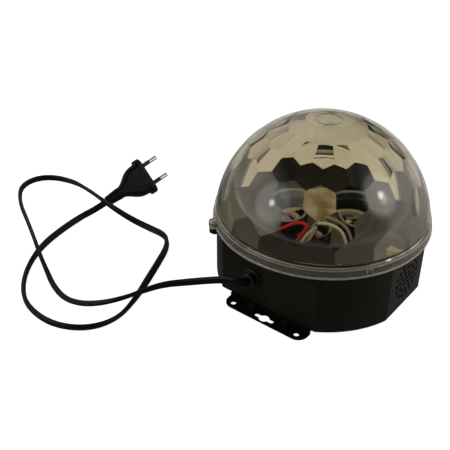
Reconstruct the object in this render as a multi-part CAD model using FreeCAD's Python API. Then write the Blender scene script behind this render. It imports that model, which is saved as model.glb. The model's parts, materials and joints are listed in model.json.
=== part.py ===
import FreeCAD, Part
import math
import os
from FreeCAD import Vector

# An effect light with a clear faceted dome, a black base with two small speakers,
# a flat steel mounting bracket and a thin flat mains cord with a two-pin plug.
# Lengths are millimetres. The dome's axis is +Z and z = 0 is the surface it stands on.
# +X is one speaker side, -Y the side where the cord and the bracket leave,
# +Y the side with the keys. All driving dimensions come first.

# General: how far cutting tools run past a face, the usual play between pieces,
# the play of a shaft in its bore, how near an edge must lie to a plane to be picked,
# and the surface it stands on
overrun = 1.0
slip = 0.3
running_play = 0.1
near = 0.3
floor_level = 0.0

# Base housing
foot_height = 4.0
base_radius = 79.6
base_wall = 2.4
base_floor = 2.4
wide_flat_depth = 11.7
side_flat_depth = 4.1
base_edge_round = 1.6
flange_underside = 49.0
flange_thickness = 4.5
collar_height = 6.5
collar_step = 1.0
collar_wall = 2.4
lug_radius = 3.9
lug_offset = 3.0
lug_azimuths = (-130.0, 50.0)

# Dome
rim_overhang = 1.9
rim_play = 0.6
rim_edge_round = 1.0
lip_relief = 1.0
lip_height = 1.2
dome_rim_step = 0.8
dome_centre_drop = 0.7
dome_wall = 4.0
skirt_wall = 3.3
facets_per_row = 18
facet_row_latitudes = (62.0, 52.0, 38.6, 25.0, 11.6)
facet_first_azimuth = -61.4
facet_low_latitude = 7.5
cap_polar_angle = 14.0
cap_radius = 103.0
gate_outer_radius = 10.2
gate_inner_radius = 8.5
gate_depth = 0.25
ear_radius = 4.3
ear_height = 4.6
catch_azimuths = (-34.0, 146.0)
catch_width = 4.6
catch_height = 4.7
catch_relief = 0.5
catch_top_drop = 0.4
nub_count = 6
nub_azimuth = 4.0
nub_width = 1.2
nub_height = 0.8
nub_relief = 0.4

# Rubber feet
foot_radius = 5.0
foot_inset = 17.6
foot_azimuths = (50.0, 130.0, 217.0, 323.0)
foot_plug_radius = 2.0
foot_plug_depth = 1.6

# Mounting bracket
sheet = 1.2
bracket_length = 71.5
bracket_centre_x = 2.3
bracket_gap = 0.3
bracket_shelf = 11.0
bracket_tongue = 20.2
bracket_corner_round = 8.0
mount_hole_radius = 2.1
mount_hole_spacing = 57.0
mount_hole_reach = 5.9
key_slot_length = 16.6
key_slot_width = 3.8
key_hole_radius = 4.0
gusset_spacing = 30.0
gusset_width = 5.0
gusset_reach = 3.4
bracket_screw_spacing = 44.0
bracket_screw_reach = 12.2

# Screws
screw_radius = 1.25
screw_head_radius = 2.6
screw_head_height = 1.6
screw_slot_width = 0.8
screw_slot_depth = 0.7
small_screw_radius = 1.0
small_head_radius = 2.2
small_head_height = 1.4

# Inner deck
deck_thickness = 2.0
deck_opening_radius = 39.0
deck_lip_wall = 1.6
deck_lip_height = 2.0
post_radius = 4.0
post_inset = 13.6
post_azimuths = (45.0, 135.0, 225.0, 315.0)
pilot_depth = 8.0

# Light unit
sink_radius = 32.0
sink_base = 3.0
sink_top = 36.0
sink_fin_height = 7.0
sink_fin_thickness = 1.2
sink_fin_count = 24
sink_bore_radius = 7.0
bush_height = 6.0
bush_flange_radius = 9.0
bush_flange_height = 1.0
led_board_radius = 34.5
led_board_thickness = 1.4
led_board_bore_radius = 9.5
led_circle = 25.5
led_radius = 4.0
led_barrel_height = 12.0
led_names = ("green", "blue", "white", "amber", "purple", "red")
led_first_azimuth = 0.0
cup_stem_radius = 5.8
cup_stem_height = 8.6
cup_flare_height = 4.2
cup_radius = 9.6
cup_height = 19.9
cup_wall = 1.2
cup_floor_height = 13.0
cup_bezel_radius = 6.6
cup_bezel_height = 15.0
cup_bezel_bore = 4.9
standoff_radius = 2.75
standoff_circle = 27.8
standoff_azimuths = (90.0, 210.0, 330.0)
standoff_play = 1.2

# Motor and the turning lens
motor_radius = 24.5
motor_bottom = 8.4
motor_height = 14.0
motor_edge_round = 1.5
motor_boss_radius = 6.0
motor_boss_height = 1.0
motor_ear_reach = 30.0
motor_ear_radius = 3.6
motor_ear_thickness = 1.2
shaft_radius = 2.5
shaft_depth_in_motor = 10.0
shaft_top = 31.0
spindle_radius = 4.5
spindle_bottom = 24.6
spindle_top = 58.1
spindle_flange_radius = 11.6
spindle_flange_height = 7.1
lens_sides = 12
lens_profile = ((11.5, 0.0), (11.5, 3.4), (10.6, 6.0), (8.5, 8.2), (5.5, 9.6), (2.0, 10.2))
lens_stub_radius = 3.0
lens_stub_length = 8.0

# Speakers and grilles
speaker_height = 28.8
speaker_radius = 18.0
speaker_flange = 1.2
speaker_mouth_radius = 15.8
basket_depth = 10.0
basket_end_radius = 12.0
basket_wall = 1.0
magnet_radius = 12.0
magnet_length = 7.0
cone_depth = 6.0
cone_inner_radius = 5.6
cone_wall = 0.6
dust_cap_height = 2.0
speaker_screw_circle = 20.4
speaker_screw_turns = (45.0, 135.0, 225.0, 315.0)
speaker_screw_head_radius = 2.5
speaker_boss_radius = 2.0
grille_hole_radius = 1.6
grille_ring_step = 5.0
grille_ring_counts = (6, 12, 18)

# Power board
power_board_length = 62.0
power_board_width = 25.0
board_thickness = 1.6
power_board_inset = 15.0
power_board_bottom = 10.4
board_boss_radius = 2.8
board_hole_inset = 3.2
transformer_length = 17.0
transformer_width = 14.0
transformer_height = 15.0
transformer_x = 8.0
core_overhang = 2.0
core_share = 0.5
capacitor_radius = 5.0
capacitor_height = 15.0
capacitor_x = 25.0
terminal_length = 10.0
terminal_width = 8.0
terminal_height = 9.0
terminal_x = -20.0
terminal_well_radius = 2.1

# Control panel and its board
control_board_gap = 10.9
control_board_length = 70.0
control_board_below = 8.0
control_board_above = 12.0
control_boss_radius = 3.0
key_height = 32.0
key_pitch = 12.0
key_first_x = -28.0
key_names = ("mode", "previous", "play", "next")
key_radius = 4.0
key_proud = 1.4
key_travel = 1.0
key_collar_radius = 5.0
key_collar_thickness = 0.8
switch_size = 6.0
switch_height = 3.6
stem_play = 0.2
usb_x = 25.0
usb_width = 13.2
usb_thickness = 5.8
usb_wall = 0.5
usb_depth = 10.0
usb_tongue_thickness = 1.8
usb_tongue_inset = 1.2
panel_play = 0.3
card_height = 20.0
card_width = 15.0
card_thickness = 2.4
card_wall = 0.5
card_recess = 0.6
window_x = -10.0
window_height = 20.0
window_radius = 2.5
window_proud = 0.2
window_collar_radius = 4.0

# Cord entry and mains cord
gland_x = -13.5
gland_height = 27.5
gland_flange_radius = 7.4
gland_flange_thickness = 2.0
gland_nose_radius = 5.6
gland_nose_length = 6.6
gland_neck_radius = 4.6
gland_recess_radius = 4.2
gland_recess_depth = 1.0
cord_diameter = 5.7
arc_share = 0.45
cord_route = (
    (-13.5, -73.5, 27.5), (-13.5, -79.5, 27.5), (-18.0, -84.5, 27.2), (-27.0, -85.5, 25.8),
    (-40.0, -86.5, 22.5), (-56.0, -93.5, 18.5), (-70.0, -104.0, 14.5), (-80.0, -118.5, 12.0),
    (-87.0, -132.5, 11.5), (-99.5, -141.5, 6.0), (-113.5, -148.0, 3.0), (-128.5, -150.5, 3.0),
    (-147.0, -145.5, 3.0), (-161.0, -140.0, 6.0), (-175.0, -134.5, 11.5), (-199.0, -122.0, 11.8),
    (-231.5, -103.0, 5.0), (-262.0, -85.5, 3.0), (-280.5, -71.0, 3.0), (-288.5, -60.0, 3.0),
    (-289.5, -48.0, 3.0), (-283.5, -37.5, 3.0), (-272.0, -32.0, 3.0), (-257.5, -31.0, 3.5),
    (-239.5, -36.0, 8.0), (-214.0, -42.5, 13.5), (-182.0, -49.0, 14.5), (-162.0, -44.5, 7.0),
    (-145.0, -39.5, 3.0), (-125.0, -39.5, 3.0), (-111.0, -52.0, 3.0), (-102.0, -74.0, 3.0),
    (-94.5, -97.0, 3.0), (-85.5, -119.5, 3.0), (-81.5, -140.5, 3.0), (-85.0, -159.5, 3.0),
    (-99.5, -172.5, 3.0), (-121.0, -176.0, 3.0), (-146.5, -171.0, 3.0), (-167.0, -159.0, 3.0),
    (-183.0, -139.5, 3.0), (-195.0, -116.0, 3.0), (-202.0, -89.0, 3.0), (-203.0, -65.5, 3.2),
    (-199.225, -52.353, 5.376), (-197.5, -38.3, 8.0),
)

# Plug
plug_azimuth = 83.0
plug_tilt = 10.5
plug_roll = 52.0
plug_length = 45.8
plug_width = 35.3
plug_thickness = 13.7
plug_flange = 4.0
plug_neck_start = 33.0
plug_neck_width = 11.0
plug_neck_thickness = 8.8
plug_end_width = 9.0
plug_end_thickness = 7.6
bell_distance_shares = (0.0, 0.25, 0.5, 0.72, 0.9, 1.0)
bell_width_shares = (1.0, 0.95, 0.78, 0.5, 0.28, 0.22)
bell_width = 31.0
bell_thickness = 12.6
rib_count = 4
rib_groove_width = 1.3
rib_groove_depth = 0.9
pin_spacing = 18.6
pin_radius = 2.0
pin_length = 19.0
pin_core_radius = 1.6
pin_root = 6.0
sleeve_length = 10.0
corner_share = 0.42

# Inner wires and the leads from the gland to the power board
wire_diameter = 1.6
lead_pitch = 2.4
lead_bend = 3.75
lead_rise = 4.625
connector_length = 10.0
connector_width = 6.0
connector_height = 6.0
connector_y = -26.5
lead_connector_length = 9.5
lead_connector_width = 5.0
lead_connector_height = 3.4
lead_connector_inset = 8.2
lead_connector_y = -11.5
red_wire_hole_x = -14.5
red_wire_hole_y = -60.5
red_wire_route = (
    (-3.3, -29.5, 41.0), (-3.3, -32.6, 41.0), (-1.6, -35.2, 45.6), (2.2, -33.6, 53.0),
    (4.6, -29.0, 60.4), (-0.5, -32.5, 61.4), (-5.0, -40.0, 59.4), (-9.0, -48.0, 57.2),
    (-12.5, -54.5, 56.2), (-14.5, -60.2, 55.2), (-14.5, -60.6, 49.0), (-19.0, -52.0, 42.0),
    (-25.0, -38.0, 34.0), (-25.5, -33.0, 30.0),
)
black_wire_route = (
    (-1.1, -29.5, 41.0), (-1.1, -32.0, 41.0), (-1.8, -34.8, 41.2), (-4.6, -36.8, 41.0),
    (-9.0, -36.8, 38.5), (-11.5, -37.0, 30.0),
)
white_wire_route = (
    (1.1, -29.5, 41.0), (1.1, -32.4, 41.0), (3.4, -35.2, 46.0), (5.2, -34.0, 55.0),
    (8.0, -29.0, 60.0), (14.0, -24.0, 61.2), (20.5, -19.0, 61.0), (26.5, -17.0, 58.5),
    (30.4, -17.6, 51.0), (30.6, -18.6, 41.0), (27.5, -26.0, 32.5), (13.5, -37.6, 27.5),
)
grey_wire_route = (
    (3.3, -29.5, 41.0), (3.3, -32.2, 41.0), (6.4, -35.8, 44.5), (8.6, -36.2, 54.0),
    (9.6, -29.5, 62.0), (12.8, -21.2, 62.8), (19.8, -15.0, 61.6), (26.8, -13.2, 58.6),
    (31.4, -14.2, 51.0), (33.0, -15.4, 41.0), (32.2, -23.0, 34.0), (24.5, -34.0, 29.0),
    (18.5, -37.5, 26.0),
)

# Low ends of the inner wires, their y measured from the middle of the power board
red_wire_end = ((-22.0, 10.5, 22.0), (-14.5, 5.0, 19.5), (-12.0, 3.5, 16.0), (-12.0, 3.5, 12.0))
black_wire_end = ((-8.5, 9.0, 21.0), (-8.0, 7.5, 16.5), (-8.0, 7.5, 12.0))
white_wire_end = ((9.7, 9.9, 20.0), (9.3, 9.5, 16.0), (9.3, 9.5, 12.0))
grey_wire_end = ((15.2, 10.1, 20.0), (14.6, 9.7, 16.0), (14.6, 9.7, 12.0))

# Worked out from the values above: the base
wide_flat = base_radius - wide_flat_depth
side_flat = base_radius - side_flat_depth
inner_radius = base_radius - base_wall
inner_wide_flat = wide_flat - base_wall
inner_side_flat = side_flat - base_wall
base_inner_floor = foot_height + base_floor
flange_top = flange_underside + flange_thickness
collar_top = flange_top + collar_height
collar_radius = base_radius - collar_step
lug_circle = base_radius + lug_offset
post_circle = base_radius - post_inset
foot_circle = base_radius - foot_inset

# Worked out: the dome
rim_top = collar_top + rim_play
rim_radius = base_radius + rim_overhang
lip_radius = rim_radius + lip_relief
dome_radius = rim_radius - dome_rim_step
dome_centre_height = flange_top - dome_centre_drop
skirt_bore_radius = dome_radius - skirt_wall

# Worked out: the bracket, the gland and what stands inside
bracket_riser_y = -(wide_flat + bracket_gap)
bracket_front_y = bracket_riser_y - bracket_shelf
bracket_back_y = bracket_riser_y + bracket_tongue
mount_hole_y = bracket_riser_y - mount_hole_reach
bracket_screw_y = bracket_riser_y + bracket_screw_reach
gland_tip_y = -(wide_flat + gland_nose_length)
deck_bottom = flange_underside + base_wall
deck_top = deck_bottom + deck_thickness
deck_radius = collar_radius - collar_wall - slip
led_board_top = sink_top + led_board_thickness
motor_top = motor_bottom + motor_height
control_board_y = inner_wide_flat - control_board_gap - board_thickness
control_face_y = control_board_y + board_thickness
control_board_low = card_height - control_board_below
control_board_high = key_height + control_board_above
power_board_y = power_board_inset - inner_wide_flat
power_board_top = power_board_bottom + board_thickness
lead_connector_x = deck_radius - lead_connector_inset

NODES = {}


def keep(name, shape):
    """Remember one sub-part under its node name."""
    NODES[name] = shape


def polar(radius, azimuth, height=0.0):
    """Point at a radius and an azimuth in degrees."""
    angle = math.radians(azimuth)
    return Vector(radius * math.cos(angle), radius * math.sin(angle), height)


def cylinder(radius, low, high, x=0.0, y=0.0):
    """Upright cylinder between two heights."""
    return Part.makeCylinder(radius, high - low, Vector(x, y, low))


def cylinder_at(radius, low, high, place):
    """Upright cylinder over a point."""
    return cylinder(radius, low, high, place.x, place.y)


def ring(outer, inner, low, high):
    """Upright tube."""
    return cylinder(outer, low, high).cut(cylinder(inner, low - overrun, high + overrun))


def block(x0, x1, y0, y1, z0, z1):
    """Box between two corners."""
    return Part.makeBox(x1 - x0, y1 - y0, z1 - z0, Vector(x0, y0, z0))


def centred_block(length, width, low, high, x=0.0, y=0.0):
    """Upright box centred over a point."""
    return block(x - length / 2, x + length / 2, y - width / 2, y + width / 2, low, high)


def rod(radius, start, direction, length):
    """Cylinder from a point along a direction."""
    return Part.makeCylinder(radius, length, start, direction)


def turned(points):
    """Solid of revolution of a closed outline of (radius, height) points."""
    wire = Part.makePolygon([Vector(r, 0, z) for r, z in points] + [Vector(points[0][0], 0, points[0][1])])
    face = Part.Face(wire)
    return face.revolve(Vector(0, 0, 0), Vector(0, 0, 1), 360)


def joined(shapes):
    """Union of several solids."""
    result = shapes[0]
    for shape in shapes[1:]:
        result = result.fuse(shape)
    return result


def group(shapes):
    """Several separate solids under one node."""
    return Part.makeCompound(shapes)


def screw(head_place, axis, shank_length, shank_radius, head_radius, head_height):
    """Pan-head screw. Its head stands on head_place, and its shank runs along the axis."""
    head = rod(head_radius, head_place - axis * head_height, axis, head_height)
    top_edges = [edge for edge in head.Edges if is_head_top(edge, head_place, axis, head_height)]
    head = head.makeFillet(head_height / 2, top_edges)
    shank = rod(shank_radius, head_place, axis, shank_length)
    slot = Part.makeBox(head_radius * 2 + overrun, screw_slot_width, screw_slot_depth,
                        Vector(-head_radius - overrun / 2, -screw_slot_width / 2, 0))
    cross = slot.fuse(slot.rotated(Vector(0, 0, 0), Vector(0, 0, 1), 90))
    cross.Placement = FreeCAD.Placement(head_place - axis * head_height,
                                        FreeCAD.Rotation(Vector(0, 0, 1), axis)).multiply(cross.Placement)
    return head.fuse(shank).cut(cross)


def is_head_top(edge, head_place, axis, head_height):
    """Whether an edge is the outer edge on top of a screw's head."""
    if not isinstance(edge.Curve, Part.Circle):
        return False
    return abs((edge.Curve.Center - head_place).dot(axis) + head_height) < near


def flatted(radius, wide, side, low, high):
    """Round prism with two wide flats across Y and two narrow ones across X."""
    return cylinder(radius, low, high).common(centred_block(2 * side, 2 * wide, low, high))


def lug_places():
    """Places of the screw lugs round the rim."""
    return [polar(lug_circle, azimuth) for azimuth in lug_azimuths]


def post_places():
    """Places of the posts that carry the deck."""
    return [polar(post_circle, azimuth) for azimuth in post_azimuths]


def foot_places():
    """Places of the rubber feet."""
    return [polar(foot_circle, azimuth) for azimuth in foot_azimuths]


def standoff_places():
    """Places of the brass posts under the heat sink."""
    return [polar(standoff_circle, azimuth) for azimuth in standoff_azimuths]


def key_places():
    """X of each key on the panel."""
    return [key_first_x + key_pitch * index for index in range(len(key_names))]


def board_hole_places():
    """Screw places of the power board."""
    reach_x = power_board_length / 2 - board_hole_inset
    reach_y = power_board_width / 2 - board_hole_inset
    return [Vector(sx * reach_x, power_board_y + sy * reach_y, 0) for sx in (-1, 1) for sy in (-1, 1)]


def control_hole_places():
    """Screw places of the control board as (x, z)."""
    reach = control_board_length / 2 - board_hole_inset
    return [(sx * reach, z) for sx in (-1, 1)
            for z in (control_board_low + board_hole_inset, control_board_high - board_hole_inset)]


def speaker_screw_places(side):
    """Screw places round a speaker, on the inside of its wall."""
    places = []
    for turn in speaker_screw_turns:
        spot = polar(speaker_screw_circle, turn)
        places.append(Vector(side * (inner_side_flat - speaker_flange), spot.x, speaker_height + spot.y))
    return places


def bracket_screw_places():
    """X of the two screws that hold the bracket."""
    return [bracket_centre_x + sign * bracket_screw_spacing / 2 for sign in (-1, 1)]


def grille_points():
    """Centre and rings of a grille, in the plane of its wall."""
    points = [(0.0, 0.0)]
    for index, count in enumerate(grille_ring_counts):
        radius = grille_ring_step * (index + 1)
        for step in range(count):
            angle = 2 * math.pi * step / count
            points.append((radius * math.cos(angle), radius * math.sin(angle)))
    return points


def make_housing():
    """Black moulded base, open at its top."""
    outer = flatted(base_radius, wide_flat, side_flat, foot_height, flange_underside)
    low_edges = [edge for edge in outer.Edges if edge.BoundBox.ZMax < foot_height + near]
    outer = outer.makeFillet(base_edge_round, low_edges)
    body = joined([outer, cylinder(base_radius, flange_underside, flange_top),
                   cylinder(collar_radius, flange_top, collar_top)])
    body = body.cut(flatted(inner_radius, inner_wide_flat, inner_side_flat, base_inner_floor, deck_bottom))
    body = body.cut(cylinder(collar_radius - collar_wall, deck_bottom, collar_top + overrun))
    # Lugs under the dome's ears, posts under the deck and bosses for the boards
    for place in lug_places():
        body = body.fuse(cylinder_at(lug_radius, flange_underside, flange_top, place))
    added = [cylinder_at(post_radius, base_inner_floor - slip, deck_bottom, place)
             for place in post_places()]
    added += [cylinder_at(board_boss_radius, base_inner_floor - slip, power_board_bottom, place)
              for place in board_hole_places()]
    added += [cylinder(motor_ear_radius, base_inner_floor - slip, motor_top - motor_ear_thickness,
                       sign * motor_ear_reach) for sign in (-1, 1)]
    wall_depth = inner_wide_flat - control_face_y + slip
    added += [rod(control_boss_radius, Vector(x, control_face_y, z), Vector(0, 1, 0), wall_depth)
              for x, z in control_hole_places()]
    for side in (-1, 1):
        added += [rod(speaker_boss_radius, place, Vector(side, 0, 0), speaker_flange + slip)
                  for place in speaker_screw_places(side)]
    body = joined([body] + added)
    return body.cut(group(housing_cuts()))


def housing_cuts():
    """Holes, grilles and panel openings of the base."""
    cuts = []
    for place in lug_places():
        cuts.append(cylinder_at(screw_radius, flange_underside - overrun, flange_top + overrun, place))
    for place in post_places():
        cuts.append(cylinder_at(small_screw_radius, deck_bottom - pilot_depth, deck_bottom + overrun, place))
    for place in foot_places():
        cuts.append(cylinder_at(foot_plug_radius, foot_height - overrun,
                                foot_height + foot_plug_depth, place))
    for place in board_hole_places():
        cuts.append(cylinder_at(small_screw_radius, base_inner_floor, power_board_bottom + overrun, place))
    for sign in (-1, 1):
        cuts.append(cylinder(screw_radius, motor_bottom, motor_top, sign * motor_ear_reach))
    for place in standoff_places():
        cuts.append(cylinder_at(screw_radius, foot_height + overrun, base_inner_floor + overrun, place))
    for x in bracket_screw_places():
        cuts.append(cylinder(screw_radius, foot_height - overrun, base_inner_floor - slip,
                             x, bracket_screw_y))
    for x, z in control_hole_places():
        cuts.append(rod(small_screw_radius, Vector(x, control_face_y - overrun, z), Vector(0, 1, 0),
                        pilot_depth + overrun))
    for side in (-1, 1):
        wall = Vector(side * (inner_side_flat - overrun), 0, speaker_height)
        for across, up in grille_points():
            cuts.append(rod(grille_hole_radius, wall + Vector(0, across, up), Vector(side, 0, 0),
                            base_wall + 2 * overrun))
        for place in speaker_screw_places(side):
            cuts.append(rod(small_screw_radius, place - Vector(side * overrun, 0, 0), Vector(side, 0, 0),
                            overrun + speaker_flange + base_wall / 2))
    panel = Vector(0, inner_wide_flat - overrun, 0)
    through = base_wall + 2 * overrun
    for x in key_places():
        cuts.append(rod(key_radius + slip, panel + Vector(x, 0, key_height), Vector(0, 1, 0), through))
    cuts.append(block(usb_x - usb_width / 2 - panel_play, usb_x + usb_width / 2 + panel_play,
                      panel.y, panel.y + through,
                      key_height - usb_thickness / 2 - panel_play,
                      key_height + usb_thickness / 2 + panel_play))
    cuts.append(block(usb_x - card_width / 2, usb_x + card_width / 2, panel.y, panel.y + through,
                      card_height - card_thickness / 2, card_height + card_thickness / 2))
    cuts.append(rod(window_radius, panel + Vector(window_x, 0, window_height), Vector(0, 1, 0), through))
    cuts.append(rod(gland_neck_radius, Vector(gland_x, -inner_wide_flat + overrun, gland_height),
                    Vector(0, -1, 0), through))
    return cuts


def facet_directions():
    """Outward direction of each flat facet inside the dome, row by row from the top."""
    step = 360 / facets_per_row
    for row, latitude in enumerate(facet_row_latitudes):
        for index in range(facets_per_row):
            azimuth = facet_first_azimuth + step * (index + row / 2)
            yield latitude, azimuth


def dome_cavity():
    """Hollow inside the dome: flat facets, a smoother cap and a plain skirt."""
    centre = Vector(0, 0, dome_centre_height)
    reach = dome_radius - dome_wall
    facet_low = dome_centre_height + reach * math.sin(math.radians(facet_low_latitude))
    hollow = cylinder(dome_radius, facet_low, dome_centre_height + dome_radius)
    for latitude, azimuth in facet_directions():
        waste = Part.makeBox(dome_radius, dome_radius, dome_radius,
                             Vector(-dome_radius / 2, -dome_radius / 2, reach))
        turn = FreeCAD.Rotation(Vector(0, 0, 1), azimuth).multiply(
            FreeCAD.Rotation(Vector(0, 1, 0), 90 - latitude))
        waste.Placement = FreeCAD.Placement(centre, turn)
        hollow = hollow.cut(waste)
    cap_angle = math.radians(cap_polar_angle)
    cap_drop = math.sqrt(cap_radius ** 2 - (reach * math.sin(cap_angle)) ** 2)
    cap_centre = centre + Vector(0, 0, reach * math.cos(cap_angle) - cap_drop)
    hollow = hollow.common(Part.makeSphere(cap_radius, cap_centre))
    hollow = hollow.fuse(cylinder(skirt_bore_radius, collar_top, facet_low))
    return hollow.fuse(cylinder(collar_radius + rim_play, flange_top - overrun, rim_top))


def make_dome():
    """Clear dome, smooth outside, with a rim, a lip, two ears and two catches."""
    ball = Part.makeSphere(dome_radius, Vector(0, 0, dome_centre_height))
    ball = ball.common(cylinder(dome_radius + overrun, flange_top,
                                dome_centre_height + dome_radius + overrun))
    band = cylinder(rim_radius, flange_top, rim_top)
    top_edges = [edge for edge in band.Edges if edge.BoundBox.ZMin > rim_top - near]
    band = band.makeFillet(rim_edge_round, top_edges)
    gate_level = dome_centre_height + math.sqrt(dome_radius ** 2 - gate_outer_radius ** 2) - gate_depth
    groove = ring(gate_outer_radius, gate_inner_radius, gate_level, gate_level + 2 * overrun)
    ball = ball.cut(groove)
    outside = joined([ball, band, cylinder(lip_radius, flange_top, flange_top + lip_height)])
    ears = [cylinder_at(ear_radius, flange_top, flange_top + ear_height, place) for place in lug_places()]
    outside = joined([outside] + ears + catches() + nubs())
    holes = [cylinder_at(screw_radius, flange_top - overrun, flange_top + ear_height - lip_height, place)
             for place in lug_places()]
    return outside.cut(dome_cavity()).cut(group(holes))


def catches():
    """Raised pads with a rounded lower end, high on the rim."""
    pads = []
    top = rim_top - catch_top_drop - rim_edge_round
    for azimuth in catch_azimuths:
        half = catch_width / 2
        bar = block(rim_radius - overrun, rim_radius + catch_relief, -half, half,
                    top - catch_height + half, top)
        end = rod(half, Vector(rim_radius - overrun, 0, top - catch_height + half), Vector(1, 0, 0),
                  overrun + catch_relief)
        pads.append(bar.fuse(end).rotated(Vector(0, 0, 0), Vector(0, 0, 1), azimuth))
    return pads


def nubs():
    """Small locating nubs on the shoulder of the rim."""
    pieces = []
    for index in range(nub_count):
        nub = block(rim_radius - overrun, rim_radius + nub_relief, -nub_width / 2, nub_width / 2,
                    flange_top + lip_height, flange_top + lip_height + nub_height)
        pieces.append(nub.rotated(Vector(0, 0, 0), Vector(0, 0, 1), nub_azimuth + 360 * index / nub_count))
    return pieces


def make_rim_parts():
    """Screws from below into the dome's ears, and the rubber feet."""
    up = Vector(0, 0, 1)
    screws = [screw(Vector(place.x, place.y, flange_underside), up,
                    flange_top - flange_underside + ear_height - lip_height - slip,
                    screw_radius, screw_head_radius, screw_head_height) for place in lug_places()]
    keep("dome_screws", group(screws))
    feet = []
    for place in foot_places():
        pad = cylinder_at(foot_radius, floor_level, foot_height, place)
        pad = pad.makeFillet(foot_plug_depth / 2,
                             [edge for edge in pad.Edges if edge.BoundBox.ZMax < floor_level + near and
                              isinstance(edge.Curve, Part.Circle)])
        plug = cylinder_at(foot_plug_radius, foot_height, foot_height + foot_plug_depth, place)
        feet.append(pad.fuse(plug))
    keep("rubber_feet", group(feet))


def make_bracket():
    """Z-shaped black steel bracket with two round holes, a keyhole slot and two gussets."""
    x0 = bracket_centre_x - bracket_length / 2
    x1 = bracket_centre_x + bracket_length / 2
    plate = block(x0, x1, bracket_front_y, bracket_riser_y + sheet, floor_level, floor_level + sheet)
    corners = [edge for edge in plate.Edges
               if edge.BoundBox.YMax < bracket_front_y + near and edge.BoundBox.ZLength > sheet / 2]
    plate = plate.makeFillet(bracket_corner_round, corners)
    riser = block(x0, x1, bracket_riser_y, bracket_riser_y + sheet, floor_level, foot_height)
    upper = block(x0, x1, bracket_riser_y, bracket_back_y, foot_height - sheet, foot_height)
    bracket = joined([plate, riser, upper])
    for sign in (-1, 1):
        x = bracket_centre_x + sign * gusset_spacing / 2
        wedge = Part.Face(Part.makePolygon([
            Vector(x - gusset_width / 2, bracket_riser_y, floor_level + sheet),
            Vector(x - gusset_width / 2, bracket_riser_y - gusset_reach, floor_level + sheet),
            Vector(x - gusset_width / 2, bracket_riser_y, foot_height),
            Vector(x - gusset_width / 2, bracket_riser_y, floor_level + sheet)]))
        bracket = bracket.fuse(wedge.extrude(Vector(gusset_width, 0, 0)))
    cuts = [cylinder(mount_hole_radius, floor_level - overrun, floor_level + sheet + overrun,
                     bracket_centre_x + sign * mount_hole_spacing / 2, mount_hole_y) for sign in (-1, 1)]
    cuts.append(cylinder(key_hole_radius, floor_level - overrun, floor_level + sheet + overrun,
                         bracket_centre_x, mount_hole_y))
    slot_reach = (key_slot_length - key_slot_width) / 2
    cuts.append(centred_block(2 * slot_reach, key_slot_width, floor_level - overrun,
                              floor_level + sheet + overrun, bracket_centre_x, mount_hole_y))
    cuts += [cylinder(key_slot_width / 2, floor_level - overrun, floor_level + sheet + overrun,
                      bracket_centre_x + sign * slot_reach, mount_hole_y) for sign in (-1, 1)]
    cuts += [cylinder(screw_radius, foot_height - 2 * sheet, foot_height + overrun, x, bracket_screw_y)
             for x in bracket_screw_places()]
    keep("wall_bracket", bracket.cut(group(cuts)))
    up = Vector(0, 0, 1)
    screws = [screw(Vector(x, bracket_screw_y, foot_height - sheet), up,
                    sheet + base_floor - slip - screw_slot_depth / 2, screw_radius, screw_head_radius,
                    screw_head_height) for x in bracket_screw_places()]
    keep("bracket_screws", group(screws))


def make_deck():
    """Dark inner deck with a round opening and a raised lip."""
    deck = cylinder(deck_radius, deck_bottom, deck_top)
    deck = deck.fuse(cylinder(deck_opening_radius + deck_lip_wall, deck_top, deck_top + deck_lip_height))
    holes = [cylinder(deck_opening_radius, deck_bottom - overrun, deck_top + deck_lip_height + overrun)]
    holes += [cylinder_at(small_screw_radius + slip / 2, deck_bottom - overrun, deck_top + overrun, place)
              for place in post_places()]
    holes.append(cylinder(wire_diameter, deck_bottom - overrun, deck_top + overrun,
                          lead_connector_x - lead_connector_length, lead_connector_y))
    holes.append(cylinder(wire_diameter, deck_bottom - overrun, deck_top + overrun,
                          red_wire_hole_x, red_wire_hole_y))
    keep("inner_deck", deck.cut(group(holes)))
    down = Vector(0, 0, -1)
    screws = [screw(Vector(place.x, place.y, deck_top), down, deck_thickness + pilot_depth - overrun,
                    small_screw_radius, small_head_radius, small_head_height) for place in post_places()]
    keep("deck_screws", group(screws))


def make_cup(place):
    """Black cup round one light: a stem, a flare, a straight wall, and a raised bezel inside."""
    flare = cup_stem_height + cup_flare_height
    outline = [(cup_bezel_bore, 0), (cup_stem_radius, 0), (cup_stem_radius, cup_stem_height),
               (cup_radius, flare), (cup_radius, cup_height), (cup_radius - cup_wall, cup_height),
               (cup_radius - cup_wall, cup_floor_height), (cup_bezel_radius, cup_floor_height),
               (cup_bezel_radius, cup_bezel_height), (cup_bezel_bore, cup_bezel_height)]
    cup = turned([(radius, led_board_top + height) for radius, height in outline])
    return cup.translated(Vector(place.x, place.y, 0))


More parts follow.
